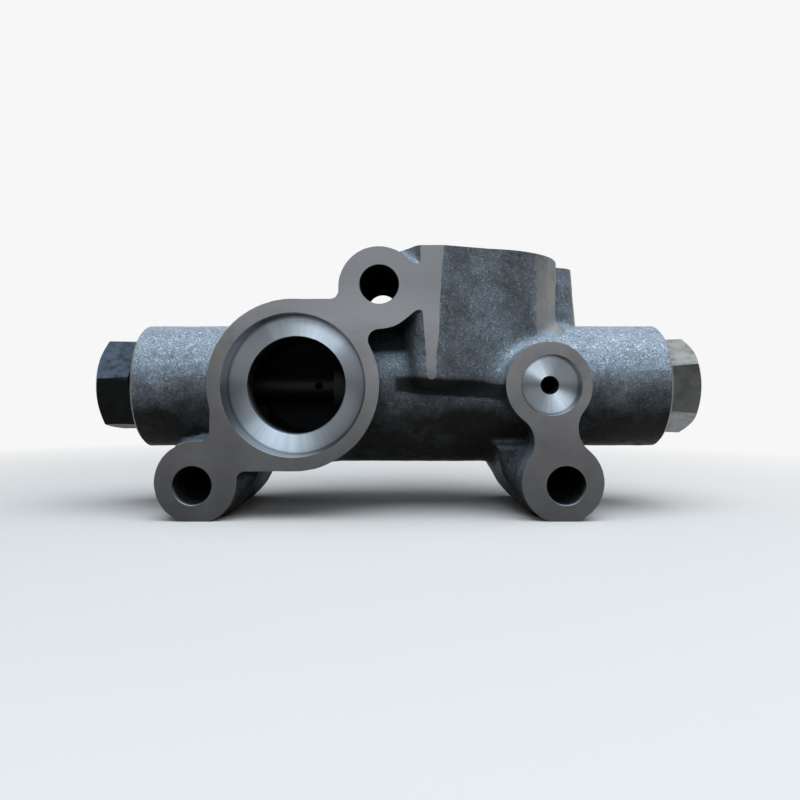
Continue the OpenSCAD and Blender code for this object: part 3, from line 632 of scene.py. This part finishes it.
# Sand grain: what the mould leaves on the iron, as a height and as masks of its specks, its
# hollows and the broad patches in its colour.
grain = bpy.data.node_groups.new("sand grain", "ShaderNodeTree")
given, result = group_sockets(
    grain, [("Grains per metre", "NodeSocketFloat", 1300.0), ("Streaks", "NodeSocketFloat", 0.8)],
    [("Height", "NodeSocketFloat"), ("Specks", "NodeSocketFloat"), ("Hollows", "NodeSocketFloat"),
     ("Patches", "NodeSocketFloat")])
place = add_node(grain, "ShaderNodeTexCoord").outputs["Object"]
fine = add_node(grain, "ShaderNodeTexNoise", Vector=place, Scale=given[0], Detail=2.0, Roughness=0.6,
                Distortion=given[1]).outputs[0]
clumped = times(grain, given[0], 0.22)
clumps = add_node(grain, "ShaderNodeTexNoise", Vector=place, Scale=clumped, Detail=3.0, Roughness=0.6)
broad = add_node(grain, "ShaderNodeTexNoise", Vector=place, Scale=70.0, Detail=4.0, Roughness=0.6)
grain.links.new(scaled(grain, clumps.outputs[0], 0.8, fine), result[0])
grain.links.new(scaled(grain, fine, 8.0, -4.3, clamp=True), result[1])
low = scaled(grain, fine, -7.0, 3.0, clamp=True)
lower = scaled(grain, clumps.outputs[0], -5.0, 2.05, clamp=True)
grain.links.new(math_node(grain, "MAXIMUM", low, lower), result[2])
grain.links.new(scaled(grain, broad.outputs[0], 3.0, -1.0, clamp=True), result[3])

# Painted light and shade: the cast skin is painted a bright blue grey where it faces up and
# nearly black where it faces down. Here and in the other materials, places are in metres.
tree = cast_iron.node_tree
skin = shader_of(cast_iron)
skin.inputs["Specular IOR Level"].default_value = 0.12
place, where = spot(tree)
sand = add_node(tree, "ShaderNodeGroup", {"node_tree": grain}, _0=900.0, _1=1.8).outputs
level = facing(tree)[2]
painted_top_light = scaled(tree, level, 0.9, 0.4, clamp=True)
patchy = scaled(tree, sand["Patches"], 0.26, -0.12)
iron = ramp(tree, math_node(tree, "ADD", painted_top_light, patchy), (0.0, (0.014, 0.013, 0.011)),
            (0.4, (0.145, 0.160, 0.175)), (0.68, (0.28, 0.332, 0.388)), (1.0, (0.31, 0.367, 0.432)))
darker = times(tree, sand["Hollows"], 0.6)
iron = tinted(tree, darker, iron, (0.2, 0.2, 0.2, 1), "MULTIPLY")
lighter = times(tree, sand["Specks"], 0.8)
iron = tinted(tree, lighter, iron, (2.4, 2.4, 2.3, 1), "MULTIPLY")
# Painted shadow: the skin is darkened nearly to black under the block's front lip, between the
# ring and the top boss, and on the ribs under the barrel.
wavy = scaled(tree, sand["Patches"], 0.0012, where[2])
lip_shadow = scaled(tree, where[0], 0.07, -0.0026)
lip_shadow = math_node(tree, "ADD", math_node(tree, "MAXIMUM", lip_shadow, 0.0), wavy)
lip_shadow = within(tree, lip_shadow, -0.0014, 0.0034, 0.0008)
lip_shadow = times(tree, within(tree, where[0], 0.0365, 0.074, 0.002), lip_shadow)
lip_shadow = times(tree, lip_shadow, scaled(tree, level, -6.0, 1.3, clamp=True))
nook_shadow = times(tree, within(tree, where[0], 0.020, 0.0385, 0.003),
             within(tree, wavy, 0.0135, 0.032, 0.0015))
nook_shadow = times(tree, nook_shadow, within(tree, where[1], 0.003, 0.045, 0.002))
painted_shadow = times(tree, math_node(tree, "MAXIMUM", lip_shadow, nook_shadow), 0.9)
rib_shadow = times(tree, within(tree, wavy, -0.050, -0.0195, 0.005),
              within(tree, where[1], 0.009, 0.062, 0.002))
rib_shadow_left = times(tree, within(tree, where[0], -0.032, 0.0, 0.003), 0.45)
rib_shadow_right = times(tree, within(tree, where[0], 0.060, 0.090, 0.003), 0.72)
rib_shadow = times(tree, rib_shadow, math_node(tree, "MAXIMUM", rib_shadow_left, rib_shadow_right))
painted_shadow = math_node(tree, "MAXIMUM", painted_shadow, rib_shadow)
iron = tinted(tree, painted_shadow, iron, (0.006, 0.006, 0.006, 1))
# A band ground flat down the right side of the port block.
frayed = scaled(tree, sand["Height"], 0.006, where[0])
band = scaled(tree, frayed, 700, -64.3, clamp=True)
for limit, slope, start in ((where[0], -1200, 119.5), (where[2], 500, -9.5), (where[1], -900, 32.0),
                            (sand["Patches"], 0.7, 0.35), (sand["Hollows"], -0.5, 1.0)):
    faded = scaled(tree, limit, slope, start, clamp=True)
    band = times(tree, band, faded)
iron = tinted(tree, band, iron, (0.36, 0.345, 0.32, 1))
# Painted shade: the skin inside the bore, the chambers and the main port is made near black.
chamber_wall = (chamber_r + 0.8) / 1000
off_bore = off_line(tree, 0.0, math_node(tree, "SUBTRACT", where[1], axis_depth / 1000), where[2])
off_port = off_line(tree, where[0], 0.0, where[2])
deep = times(tree, math_node(tree, "LESS_THAN", off_port, chamber_wall),
             math_node(tree, "LESS_THAN", where[1], 0.058))
inside = math_node(tree, "MAXIMUM", math_node(tree, "LESS_THAN", off_bore, chamber_wall), deep)
tree.links.new(tinted(tree, inside, iron, (0.012, 0.012, 0.012, 1)), skin.inputs["Base Color"])
unshaded = math_node(tree, "SUBTRACT", 1.0, inside)
metal = scaled(tree, painted_top_light, 0.4, 0.03)
tree.links.new(times(tree, metal, unshaded), skin.inputs["Metallic"])
tree.links.new(scaled(tree, sand["Hollows"], 0.3, 0.42), skin.inputs["Roughness"])
raised = times(tree, sand["Height"], math_node(tree, "SUBTRACT", 1.0, band))
relief = add_node(tree, "ShaderNodeBump", Strength=1.0, Distance=0.0004, Height=raised)
tree.links.new(relief.outputs[0], skin.inputs["Normal"])

# The faces cut on a milling machine are finely brushed along X, and painted shade darkens them
# towards the lower bosses, and a little towards the top.
tree = milled_iron.node_tree
face_metal = shader_of(milled_iron, 0.9)
place, where = spot(tree)
stretched = add_node(tree, "ShaderNodeMapping", _0=place)
stretched.inputs["Scale"].default_value = (120, 2600, 2600)
brushed = add_node(tree, "ShaderNodeTexNoise", Vector=stretched.outputs[0], Scale=1.0, Detail=2.0)
cloudy = add_node(tree, "ShaderNodeTexNoise", Vector=place, Scale=55.0, Detail=5.0, Roughness=0.65)
shade = scaled(tree, brushed.outputs[0], 0.35, -0.175)
shade = math_node(tree, "ADD", shade, cloudy.outputs[0])
bare_and_sheen = ramp(tree, shade, (0.3, (0.30, 0.288, 0.285)), (0.7, (0.38, 0.365, 0.36)))
painted_face_shade = scaled(tree, where[0], 0.09, where[2])
painted_face_shade = scaled(tree, cloudy.outputs[0], 0.02, painted_face_shade)
painted_face_shade = scaled(tree, painted_face_shade, 11.0, 0.45, clamp=True)
painted_face_shade = ramp(tree, painted_face_shade, (0.0, 0.27), (0.45, 0.50), (0.84, 0.88), (1.0, 0.66))
shaded_face = tinted(tree, 1.0, bare_and_sheen, painted_face_shade, "MULTIPLY")
# The strip beside the top boss runs out into the cast skin.
run_out = times(tree, where[2], -1.0)
run_out = scaled(tree, brushed.outputs[0], 0.004, run_out)
run_out = scaled(tree, cloudy.outputs[0], 0.012, run_out)
run_out = scaled(tree, run_out, 260.0, -0.5, clamp=True)
run_out = times(tree, run_out, within(tree, where[0], 0.0415, 0.054, 0.001))
run_out = times(tree, run_out, 0.75)
shaded_face = tinted(tree, run_out, shaded_face, (0.10, 0.11, 0.115, 1))
tree.links.new(shaded_face, face_metal.inputs["Base Color"])
tree.links.new(scaled(tree, shade, 0.25, 0.28), face_metal.inputs["Roughness"])
relief = add_node(tree, "ShaderNodeBump", Strength=0.5, Distance=0.00002, Height=brushed.outputs[0])
tree.links.new(relief.outputs[0], face_metal.inputs["Normal"])

# The floors of both O-ring recesses are turned, so fine rings run round each port. Their lay is
# radial on the floors and runs along Y on the walls.
tree = turned_iron.node_tree
ringed = shader_of(turned_iron, 1.0, 0.36)
place, where = spot(tree)
pilot_side = math_node(tree, "GREATER_THAN", where[0], 0.06)
from_centre = scaled(tree, pilot_side, -pilot_port[0] / 1000, where[0])
outwards = add_node(tree, "ShaderNodeCombineXYZ", _0=from_centre, _1=0.0, _2=where[2]).outputs[0]
radius = off_line(tree, from_centre, 0.0, where[2])
feed = add_node(tree, "ShaderNodeCombineXYZ", _0=radius).outputs[0]
rings = add_node(tree, "ShaderNodeTexNoise", Vector=feed, Scale=2500.0, Detail=2.0).outputs[0]
smudge = add_node(tree, "ShaderNodeTexNoise", Vector=place, Scale=120.0, Detail=3.0).outputs[0]
shade = scaled(tree, smudge, 0.6, rings)
spoke = add_node(tree, "ShaderNodeVectorMath", {"operation": "NORMALIZE"}, _0=outwards).outputs[0]
# Painted highlight: each floor is made bright along one line through its port, broken by fine streaks.
lean_x = scaled(tree, pilot_side, -0.677, 0.208)
highlight_way = add_node(tree, "ShaderNodeCombineXYZ", _0=lean_x, _1=0.0, _2=0.93).outputs[0]
painted_highlight = add_node(tree, "ShaderNodeVectorMath", {"operation": "DOT_PRODUCT"}, _0=spoke, _1=highlight_way)
streaks = add_node(tree, "ShaderNodeTexNoise", Vector=spoke, Scale=4.0, Detail=4.0,
                   Roughness=0.6).outputs[0]
painted_highlight = scaled(tree, streaks, 0.5, math_node(tree, "ABSOLUTE", painted_highlight.outputs["Value"]))
painted_highlight = scaled(tree, painted_highlight, 2.4, -2.25, clamp=True)
normal = facing(tree)
on_wall = math_node(tree, "LESS_THAN", math_node(tree, "ABSOLUTE", normal[1]), 0.5)
painted_highlight = math_node(tree, "MAXIMUM", painted_highlight, on_wall)
painted_highlight = times(tree, painted_highlight, scaled(tree, pilot_side, -0.2, 1.0))
painted_highlight = scaled(tree, painted_highlight, 0.50, 0.50)
bright = ramp(tree, times(tree, shade, 0.6), (0.3, (0.68, 0.75, 0.82)), (0.7, (0.82, 0.89, 0.96)))
bright = add_node(tree, "ShaderNodeVectorMath", {"operation": "SCALE"}, _0=bright,
                  Scale=painted_highlight).outputs[0]
# Painted shade darkens the wall that faces down and the edge of each floor.
painted_down_shade = times(tree, normal[2], -1.1, clamp=True)
rim_shade = scaled(tree, pilot_side, 0.0142, radius)
rim_shade = scaled(tree, rim_shade, 1400.0, -33.4, clamp=True)
painted_down_shade = math_node(tree, "MAXIMUM", painted_down_shade, times(tree, rim_shade, 0.6))
tree.links.new(tinted(tree, painted_down_shade, bright, (0.02, 0.02, 0.022, 1)), ringed.inputs["Base Color"])
ringed.inputs["Anisotropic"].default_value = 0.95
along_wall = add_node(tree, "ShaderNodeCombineXYZ", _0=0.0, _1=on_wall, _2=0.0).outputs[0]
on_floor = math_node(tree, "SUBTRACT", 1.0, on_wall)
lay = add_node(tree, "ShaderNodeVectorMath", {"operation": "SCALE"}, _0=spoke, Scale=on_floor)
lay = add_node(tree, "ShaderNodeVectorMath", {"operation": "ADD"}, _0=lay.outputs[0], _1=along_wall)
tree.links.new(lay.outputs[0], ringed.inputs["Tangent"])
relief = add_node(tree, "ShaderNodeBump", Strength=0.4, Distance=0.00003, Height=rings)
tree.links.new(relief.outputs[0], ringed.inputs["Normal"])

# Drilled and bored holes are duller, and painted nearly black as shade.
tree = drilled_iron.node_tree
bored = shader_of(drilled_iron)
bored.inputs["Specular IOR Level"].default_value = 0.0
place, where = spot(tree)
hole_shade = add_node(tree, "ShaderNodeTexNoise", Vector=place, Scale=180.0, Detail=4.0).outputs[0]
hole_shade = ramp(tree, hole_shade, (0.3, (0.02, 0.02, 0.02)), (0.7, (0.045, 0.044, 0.042)))
# Painted highlight: their mouths are made lighter where they face up, as if lit from above.
port_side = times(tree, within(tree, where[0], -0.0195, 0.0195, 0.0005),
                  within(tree, where[2], -0.0195, 0.0195, 0.0005))
mouth_glint = times(tree, port_side, within(tree, where[1], 0.0085, 0.0115, 0.0015))
mouth_glint = math_node(tree, "MAXIMUM", mouth_glint, within(tree, where[1], -0.001, 0.0012, 0.001))
painted_sky_light = scaled(tree, facing(tree)[2], 1.6, 0.1, clamp=True)
mouth_glint = times(tree, mouth_glint, painted_sky_light)
tree.links.new(tinted(tree, mouth_glint, hole_shade, (0.26, 0.31, 0.35, 1)), bored.inputs["Base Color"])
tree.links.new(times(tree, mouth_glint, 0.7), bored.inputs["Metallic"])
tree.links.new(scaled(tree, mouth_glint, -0.4, 0.8), bored.inputs["Roughness"])


# Main plug: hexagon steel bar turned down to a fine thread, blacked in hot oxide, and screwed
# into the left end of the barrel, where its spring pocket opens inwards.
plug_flats, thread_r, thread_pitch, thread_depth = 32, 15, 1.5, 0.9
collar_r, pocket_r = 17.5, 10


def hexagon_tool(along0, along1, turn, centre, way, paint):
    """A tool that leaves a hexagon: everything round it, out to twice its size."""
    shape = bmesh.new()
    loops = []
    for along in (along0, along1):
        for r in (plug_flats / 2 / math.cos(math.radians(30)), plug_flats):
            loops.append([shape.verts.new((r * math.cos(a), r * math.sin(a), along))
                          for a in np.radians([turn + 60 * k for k in range(6)])])
    for a, b in ((0, 1), (1, 3), (3, 2), (2, 0)):
        for k in range(6):
            j = (k + 1) % 6
            shape.faces.new([loops[a][k], loops[a][j], loops[b][j], loops[b][k]])
    return added(laid(shape, centre, way), "hexagon", paint)


def hex_plug(name, node, paint, head, collar, turn, centre, way):
    """A plug whose collar seats at centre. Head and collar are their ends along way, in mm."""
    corner_r = plug_flats / 2 / math.cos(math.radians(30))
    profile = [(head - 5.8, 0), (head - 5.8, pocket_r - 0.8), (head - 6.6, pocket_r),
               (-15.6, pocket_r), (-16, pocket_r + 0.4)]
    # The turns of the thread run out at both ends.
    for k in range(-64, -7):
        along = k / 4
        fade = min(1.0, (along + 16) / 1.5, -1 - along)
        cut_in = thread_depth * fade * abs(((along / thread_pitch) % 1) * 2 - 1)
        profile.append((along, thread_r - cut_in - max(0, -14.8 - along)))
    neck = thread_r - 1.1
    profile += [(-1.8, neck), (0, neck), (0, collar_r - 0.3), (0.3, collar_r),
                (collar - 0.2, collar_r), (collar, collar_r - 0.2), (collar, 15.6),
                (collar + 0.4, 15.6), (collar + 0.5, corner_r - 0.4)]
    profile += [(head - (corner_r - 15.6) * math.tan(math.radians(30)), corner_r),
                (head - 0.15, 15.7), (head, 15.4), (head, 3.0), (head - 0.5, 2.4), (head - 0.5, 0)]
    plug = lathe(name, profile, centre, way, paint, 120)
    cut(plug, [hexagon_tool(collar - 0.01 + 0.3, head + 3, turn, centre, way, paint)])
    crisp(plug, 20)
    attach(plug, "housing")
    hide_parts(node)


def steel(paint, dark, light, rough, metal, spread=140.0, lay=(1, 1, 1)):
    """Steel with soft stains between a dark and a light colour; lay stretches them along the cut."""
    made = shader_of(paint, metal)
    tree = paint.node_tree
    laid_out = add_node(tree, "ShaderNodeMapping", _0=spot(tree)[0])
    laid_out.inputs["Scale"].default_value = lay
    stain = add_node(tree, "ShaderNodeTexNoise", Vector=laid_out.outputs[0], Scale=spread, Detail=5.0,
                     Roughness=0.6).outputs[0]
    tree.links.new(ramp(tree, stain, (0.35, dark), (0.65, light)), made.inputs["Base Color"])
    tree.links.new(scaled(tree, stain, 0.3, rough - 0.15), made.inputs["Roughness"])
    relief = add_node(tree, "ShaderNodeBump", Strength=0.3, Distance=0.00005, Height=stain)
    tree.links.new(relief.outputs[0], made.inputs["Normal"])


def paint_flat_sheen(paint, level, slope, low, high, bare_and_sheen):
    """Paints a highlight on steel where slope says it faces the light, mottled by noise."""
    tree = paint.node_tree
    shader = tree.nodes["Principled BSDF"]
    shader.inputs["Specular IOR Level"].default_value = level
    painted_sky_light = scaled(tree, slope(tree), 1.6, -low, clamp=True)
    sheen_mottle = add_node(tree, "ShaderNodeTexNoise", Vector=spot(tree)[0], Scale=260.0, Detail=4.0,
                    Roughness=0.65)
    sheen_mottle = scaled(tree, sheen_mottle.outputs[0], 3.0, -0.7, clamp=True)
    sheen = times(tree, times(tree, painted_sky_light, sheen_mottle), high)
    stained = shader.inputs["Base Color"].links[0].from_socket
    tree.links.new(tinted(tree, sheen, stained, bare_and_sheen), shader.inputs["Base Color"])


black_oxide = bpy.data.materials.new("black oxide")
steel(black_oxide, (0.008, 0.008, 0.008), (0.016, 0.016, 0.016), 0.4, 0.1)
# Painted reflection: the black oxide is tinted blue grey where it faces up, like the sky.
paint_flat_sheen(black_oxide, 0.07, lambda tree: facing(tree)[2], 0.0, 1.0, (0.10, 0.125, 0.165, 1))
hex_plug("main_plug_black", "main_plug", black_oxide, head=15.3, collar=2, turn=38,
         centre=(barrel_left, axis_depth, 0), way=(-1, 0, 0))

# Converter plug: the same plug left in plain steel, its collar and head a little shorter, screwed
# into the right end of the barrel. Its flats carry a painted reflection where they face the sky and the
# bench.
plain_steel = bpy.data.materials.new("plain steel")
steel(plain_steel, (0.07, 0.073, 0.073), (0.13, 0.133, 0.13), 0.34, 0.9)
paint_flat_sheen(plain_steel, 0.5, lambda tree: math_node(tree, "ABSOLUTE", facing(tree)[2]), 0.1, 0.9,
          (0.30, 0.305, 0.295, 1))
hex_plug("converter_plug_grey", "converter_plug", plain_steel, head=13.3, collar=1,
         turn=4, centre=(barrel_right, axis_depth, 0), way=(1, 0, 0))

# Plug seals: moulded rubber O-rings, one round the root of each plug's thread. The plug heads
# press them into the recesses at the ends of the barrel.
rubber = bpy.data.materials.new("rubber")
steel(rubber, (0.012, 0.012, 0.012), (0.03, 0.03, 0.03), 0.6, 0.0)


def dress(finish, *nodes):
    """Gives CAD nodes whose shape is right their finish."""
    for node in nodes:
        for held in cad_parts[node].material_slots:
            held.material = finish


dress(rubber, "main_plug_seal", "converter_plug_seal")

# Shims: thin steel washers, stacked in the bottom of each plug's pocket until the spring
# behind them gives the right opening pressure.
ground_steel = bpy.data.materials.new("ground steel")
steel(ground_steel, (0.45, 0.46, 0.47), (0.60, 0.61, 0.62), 0.25, 1.0, 300.0, (1, 8, 8))
dress(ground_steel, "main_shims", "converter_shims")

# Springs: hardened wire wound into open coils, whose end turns close up and are ground flat.
# The main valve has one inside the other.
spring_wire = bpy.data.materials.new("spring wire")
steel(spring_wire, (0.16, 0.16, 0.17), (0.30, 0.30, 0.31), 0.35, 0.9)
wound = bpy.data.node_groups.new("wound spring", "GeometryNodeTree")
given, result = group_sockets(
    wound, [("Turns", "NodeSocketFloat", 7.0), ("Mean radius", "NodeSocketFloat", 0.008),
            ("Wire", "NodeSocketFloat", 0.003), ("Start", "NodeSocketFloat", 0.0),
            ("Length", "NodeSocketFloat", 0.03), ("Depth", "NodeSocketFloat", 0.033),
            ("Finish", "NodeSocketMaterial", None)],
    [("Spring", "NodeSocketGeometry")])
turns, mean_r, wire, start, length, depth, finish = [given[k] for k in range(7)]
open_turns = math_node(wound, "SUBTRACT", turns, 2.0)
open_length = scaled(wound, wire, -2.0, length)
pitch = math_node(wound, "DIVIDE", open_length, open_turns)
turned = add_node(wound, "GeometryNodeSplineParameter").outputs["Factor"]
turned = times(wound, turned, turns)
closed = math_node(wound, "SUBTRACT", turned, math_node(wound, "SUBTRACT", turns, 1.0))
closed = math_node(wound, "ADD", math_node(wound, "MAXIMUM", closed, 0.0),
                   math_node(wound, "MINIMUM", turned, 1.0))
opened = math_node(wound, "MINIMUM", math_node(wound, "SUBTRACT", turned, 1.0), open_turns)
opened = times(wound, math_node(wound, "MAXIMUM", opened, 0.0), pitch)
rise = scaled(wound, closed, wire, opened)
rise = add_node(wound, "ShaderNodeCombineXYZ", _2=rise).outputs[0]
coil = add_node(wound, "GeometryNodeCurveSpiral", Resolution=40, Rotations=turns, Start__Radius=mean_r,
                End__Radius=mean_r, Height=0.0).outputs[0]
coil = add_node(wound, "GeometryNodeSetPosition", Geometry=coil, Offset=rise).outputs[0]
section = add_node(wound, "GeometryNodeCurvePrimitiveCircle", Resolution=14,
                   Radius=times(wound, wire, 0.5)).outputs[0]
drawn = add_node(wound, "GeometryNodeCurveToMesh", Curve=coil, Profile__Curve=section,
                 Fill__Caps=True).outputs[0]
at = add_node(wound, "GeometryNodeInputPosition").outputs[0]
at = add_node(wound, "ShaderNodeSeparateXYZ", _0=at).outputs
ground = math_node(wound, "MINIMUM", math_node(wound, "MAXIMUM", at[2], 0.0), length)
at = add_node(wound, "ShaderNodeCombineXYZ", _0=math_node(wound, "ADD", start, ground),
              _1=math_node(wound, "ADD", depth, at[0]), _2=at[1]).outputs[0]
drawn = add_node(wound, "GeometryNodeSetPosition", Geometry=drawn, Position=at).outputs[0]
drawn = add_node(wound, "GeometryNodeRealizeInstances", Geometry=drawn).outputs[0]
drawn = add_node(wound, "GeometryNodeSetMaterial", Geometry=drawn, Material=finish).outputs[0]
wound.links.new(drawn, result[0])

# The end that stays on the shims is the left one, 0, or the right one, 1.
for name, node, joint, count, r, thick, fixed in (
        ("main_outer_coil", "main_spring_outer", "main_spool_slide", 7.0, 0.0078, 0.003, 0),
        ("main_inner_coil", "main_spring_inner", "main_spool_slide", 10.0, 0.0043, 0.0016, 0),
        ("converter_coil", "converter_spring", "converter_spool_slide", 7.0, 0.0081, 0.0024, 1)):
    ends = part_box(node)
    tall = ends[1][0] - ends[0][0]
    spring = bpy.data.objects.new(name, bpy.data.meshes.new(name))
    scene.collection.objects.link(spring)
    wind = spring.modifiers.new("wind", "NODES")
    wind.node_group = wound
    wanted = {"Turns": count, "Mean radius": r, "Wire": thick, "Start": ends[0][0], "Length": tall,
              "Depth": axis_depth / 1000, "Finish": spring_wire}
    for socket in wound.interface.items_tree:
        if socket.name in wanted:
            wind[socket.identifier] = wanted[socket.name]
    settle(spring)
    crisp(spring, 50)
    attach(spring, "housing")
    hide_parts(node)
    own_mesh(spring)

# Spring seats: turned steel discs, one for each valve. A tail locates them in the end of their
# spool, and a shoulder and a pin keep the springs central.
dress(ground_steel, "main_spring_seat", "converter_spring_seat")

# Spools: hardened steel, ground to a sliding fit in the bore. Each one's lands open a chamber
# once pressure pushes it out against its spring. The main one's stem, in the port, is painted
# near black as shade.
port_shaded_steel = bpy.data.materials.new("port shaded steel")
steel(port_shaded_steel, (0.45, 0.46, 0.47), (0.60, 0.61, 0.62), 0.3, 1.0, 300.0, (1, 8, 8))
tree = port_shaded_steel.node_tree
shader = tree.nodes["Principled BSDF"]
shader.inputs["Specular IOR Level"].default_value = 0.2
port_shade = within(tree, spot(tree)[1][0], -0.026, 0.026, 0.004)
steel_colour = shader.inputs["Base Color"].links[0].from_socket
tree.links.new(tinted(tree, port_shade, steel_colour, (0.009, 0.009, 0.009, 1)), shader.inputs["Base Color"])
tree.links.new(scaled(tree, port_shade, -0.95, 1.0), shader.inputs["Metallic"])
tree.links.new(scaled(tree, port_shade, 0.2, 0.3), shader.inputs["Roughness"])
dress(port_shaded_steel, "main_spool")
dress(ground_steel, "converter_spool")

# Orifice: a small brass screw with a fine hole through it, behind the piston in the main spool.
# It slows the oil that the piston moves, which damps the spool.
brass = bpy.data.materials.new("brass")
steel(brass, (0.55, 0.38, 0.14), (0.72, 0.52, 0.22), 0.3, 1.0)
dress(brass, "main_orifice")

# Reaction pistons: small ground steel pins, one in a hole in the inner end of each spool. They
# bear on the centre stop, and the pressure behind them pushes the spool off it.
dress(ground_steel, "main_piston", "converter_piston")

# Centre stop: the steel disc in the middle of the bore that spools and pistons bear on, with a
# rubber ring round it, so that the two valves don't share their oil.
dress(ground_steel, "centre_stop")
dress(rubber, "centre_stop_seal")

# Stop screw: a steel screw with a hexagon head, let in through the boss at the body's back. Its
# point locks the stop, and a soft copper washer seals it.
copper = bpy.data.materials.new("copper")
steel(copper, (0.55, 0.24, 0.13), (0.75, 0.38, 0.24), 0.35, 1.0)
dress(plain_steel, "centre_stop_screw")
dress(copper, "centre_stop_washer")

scene.view_settings.view_transform = "Standard"
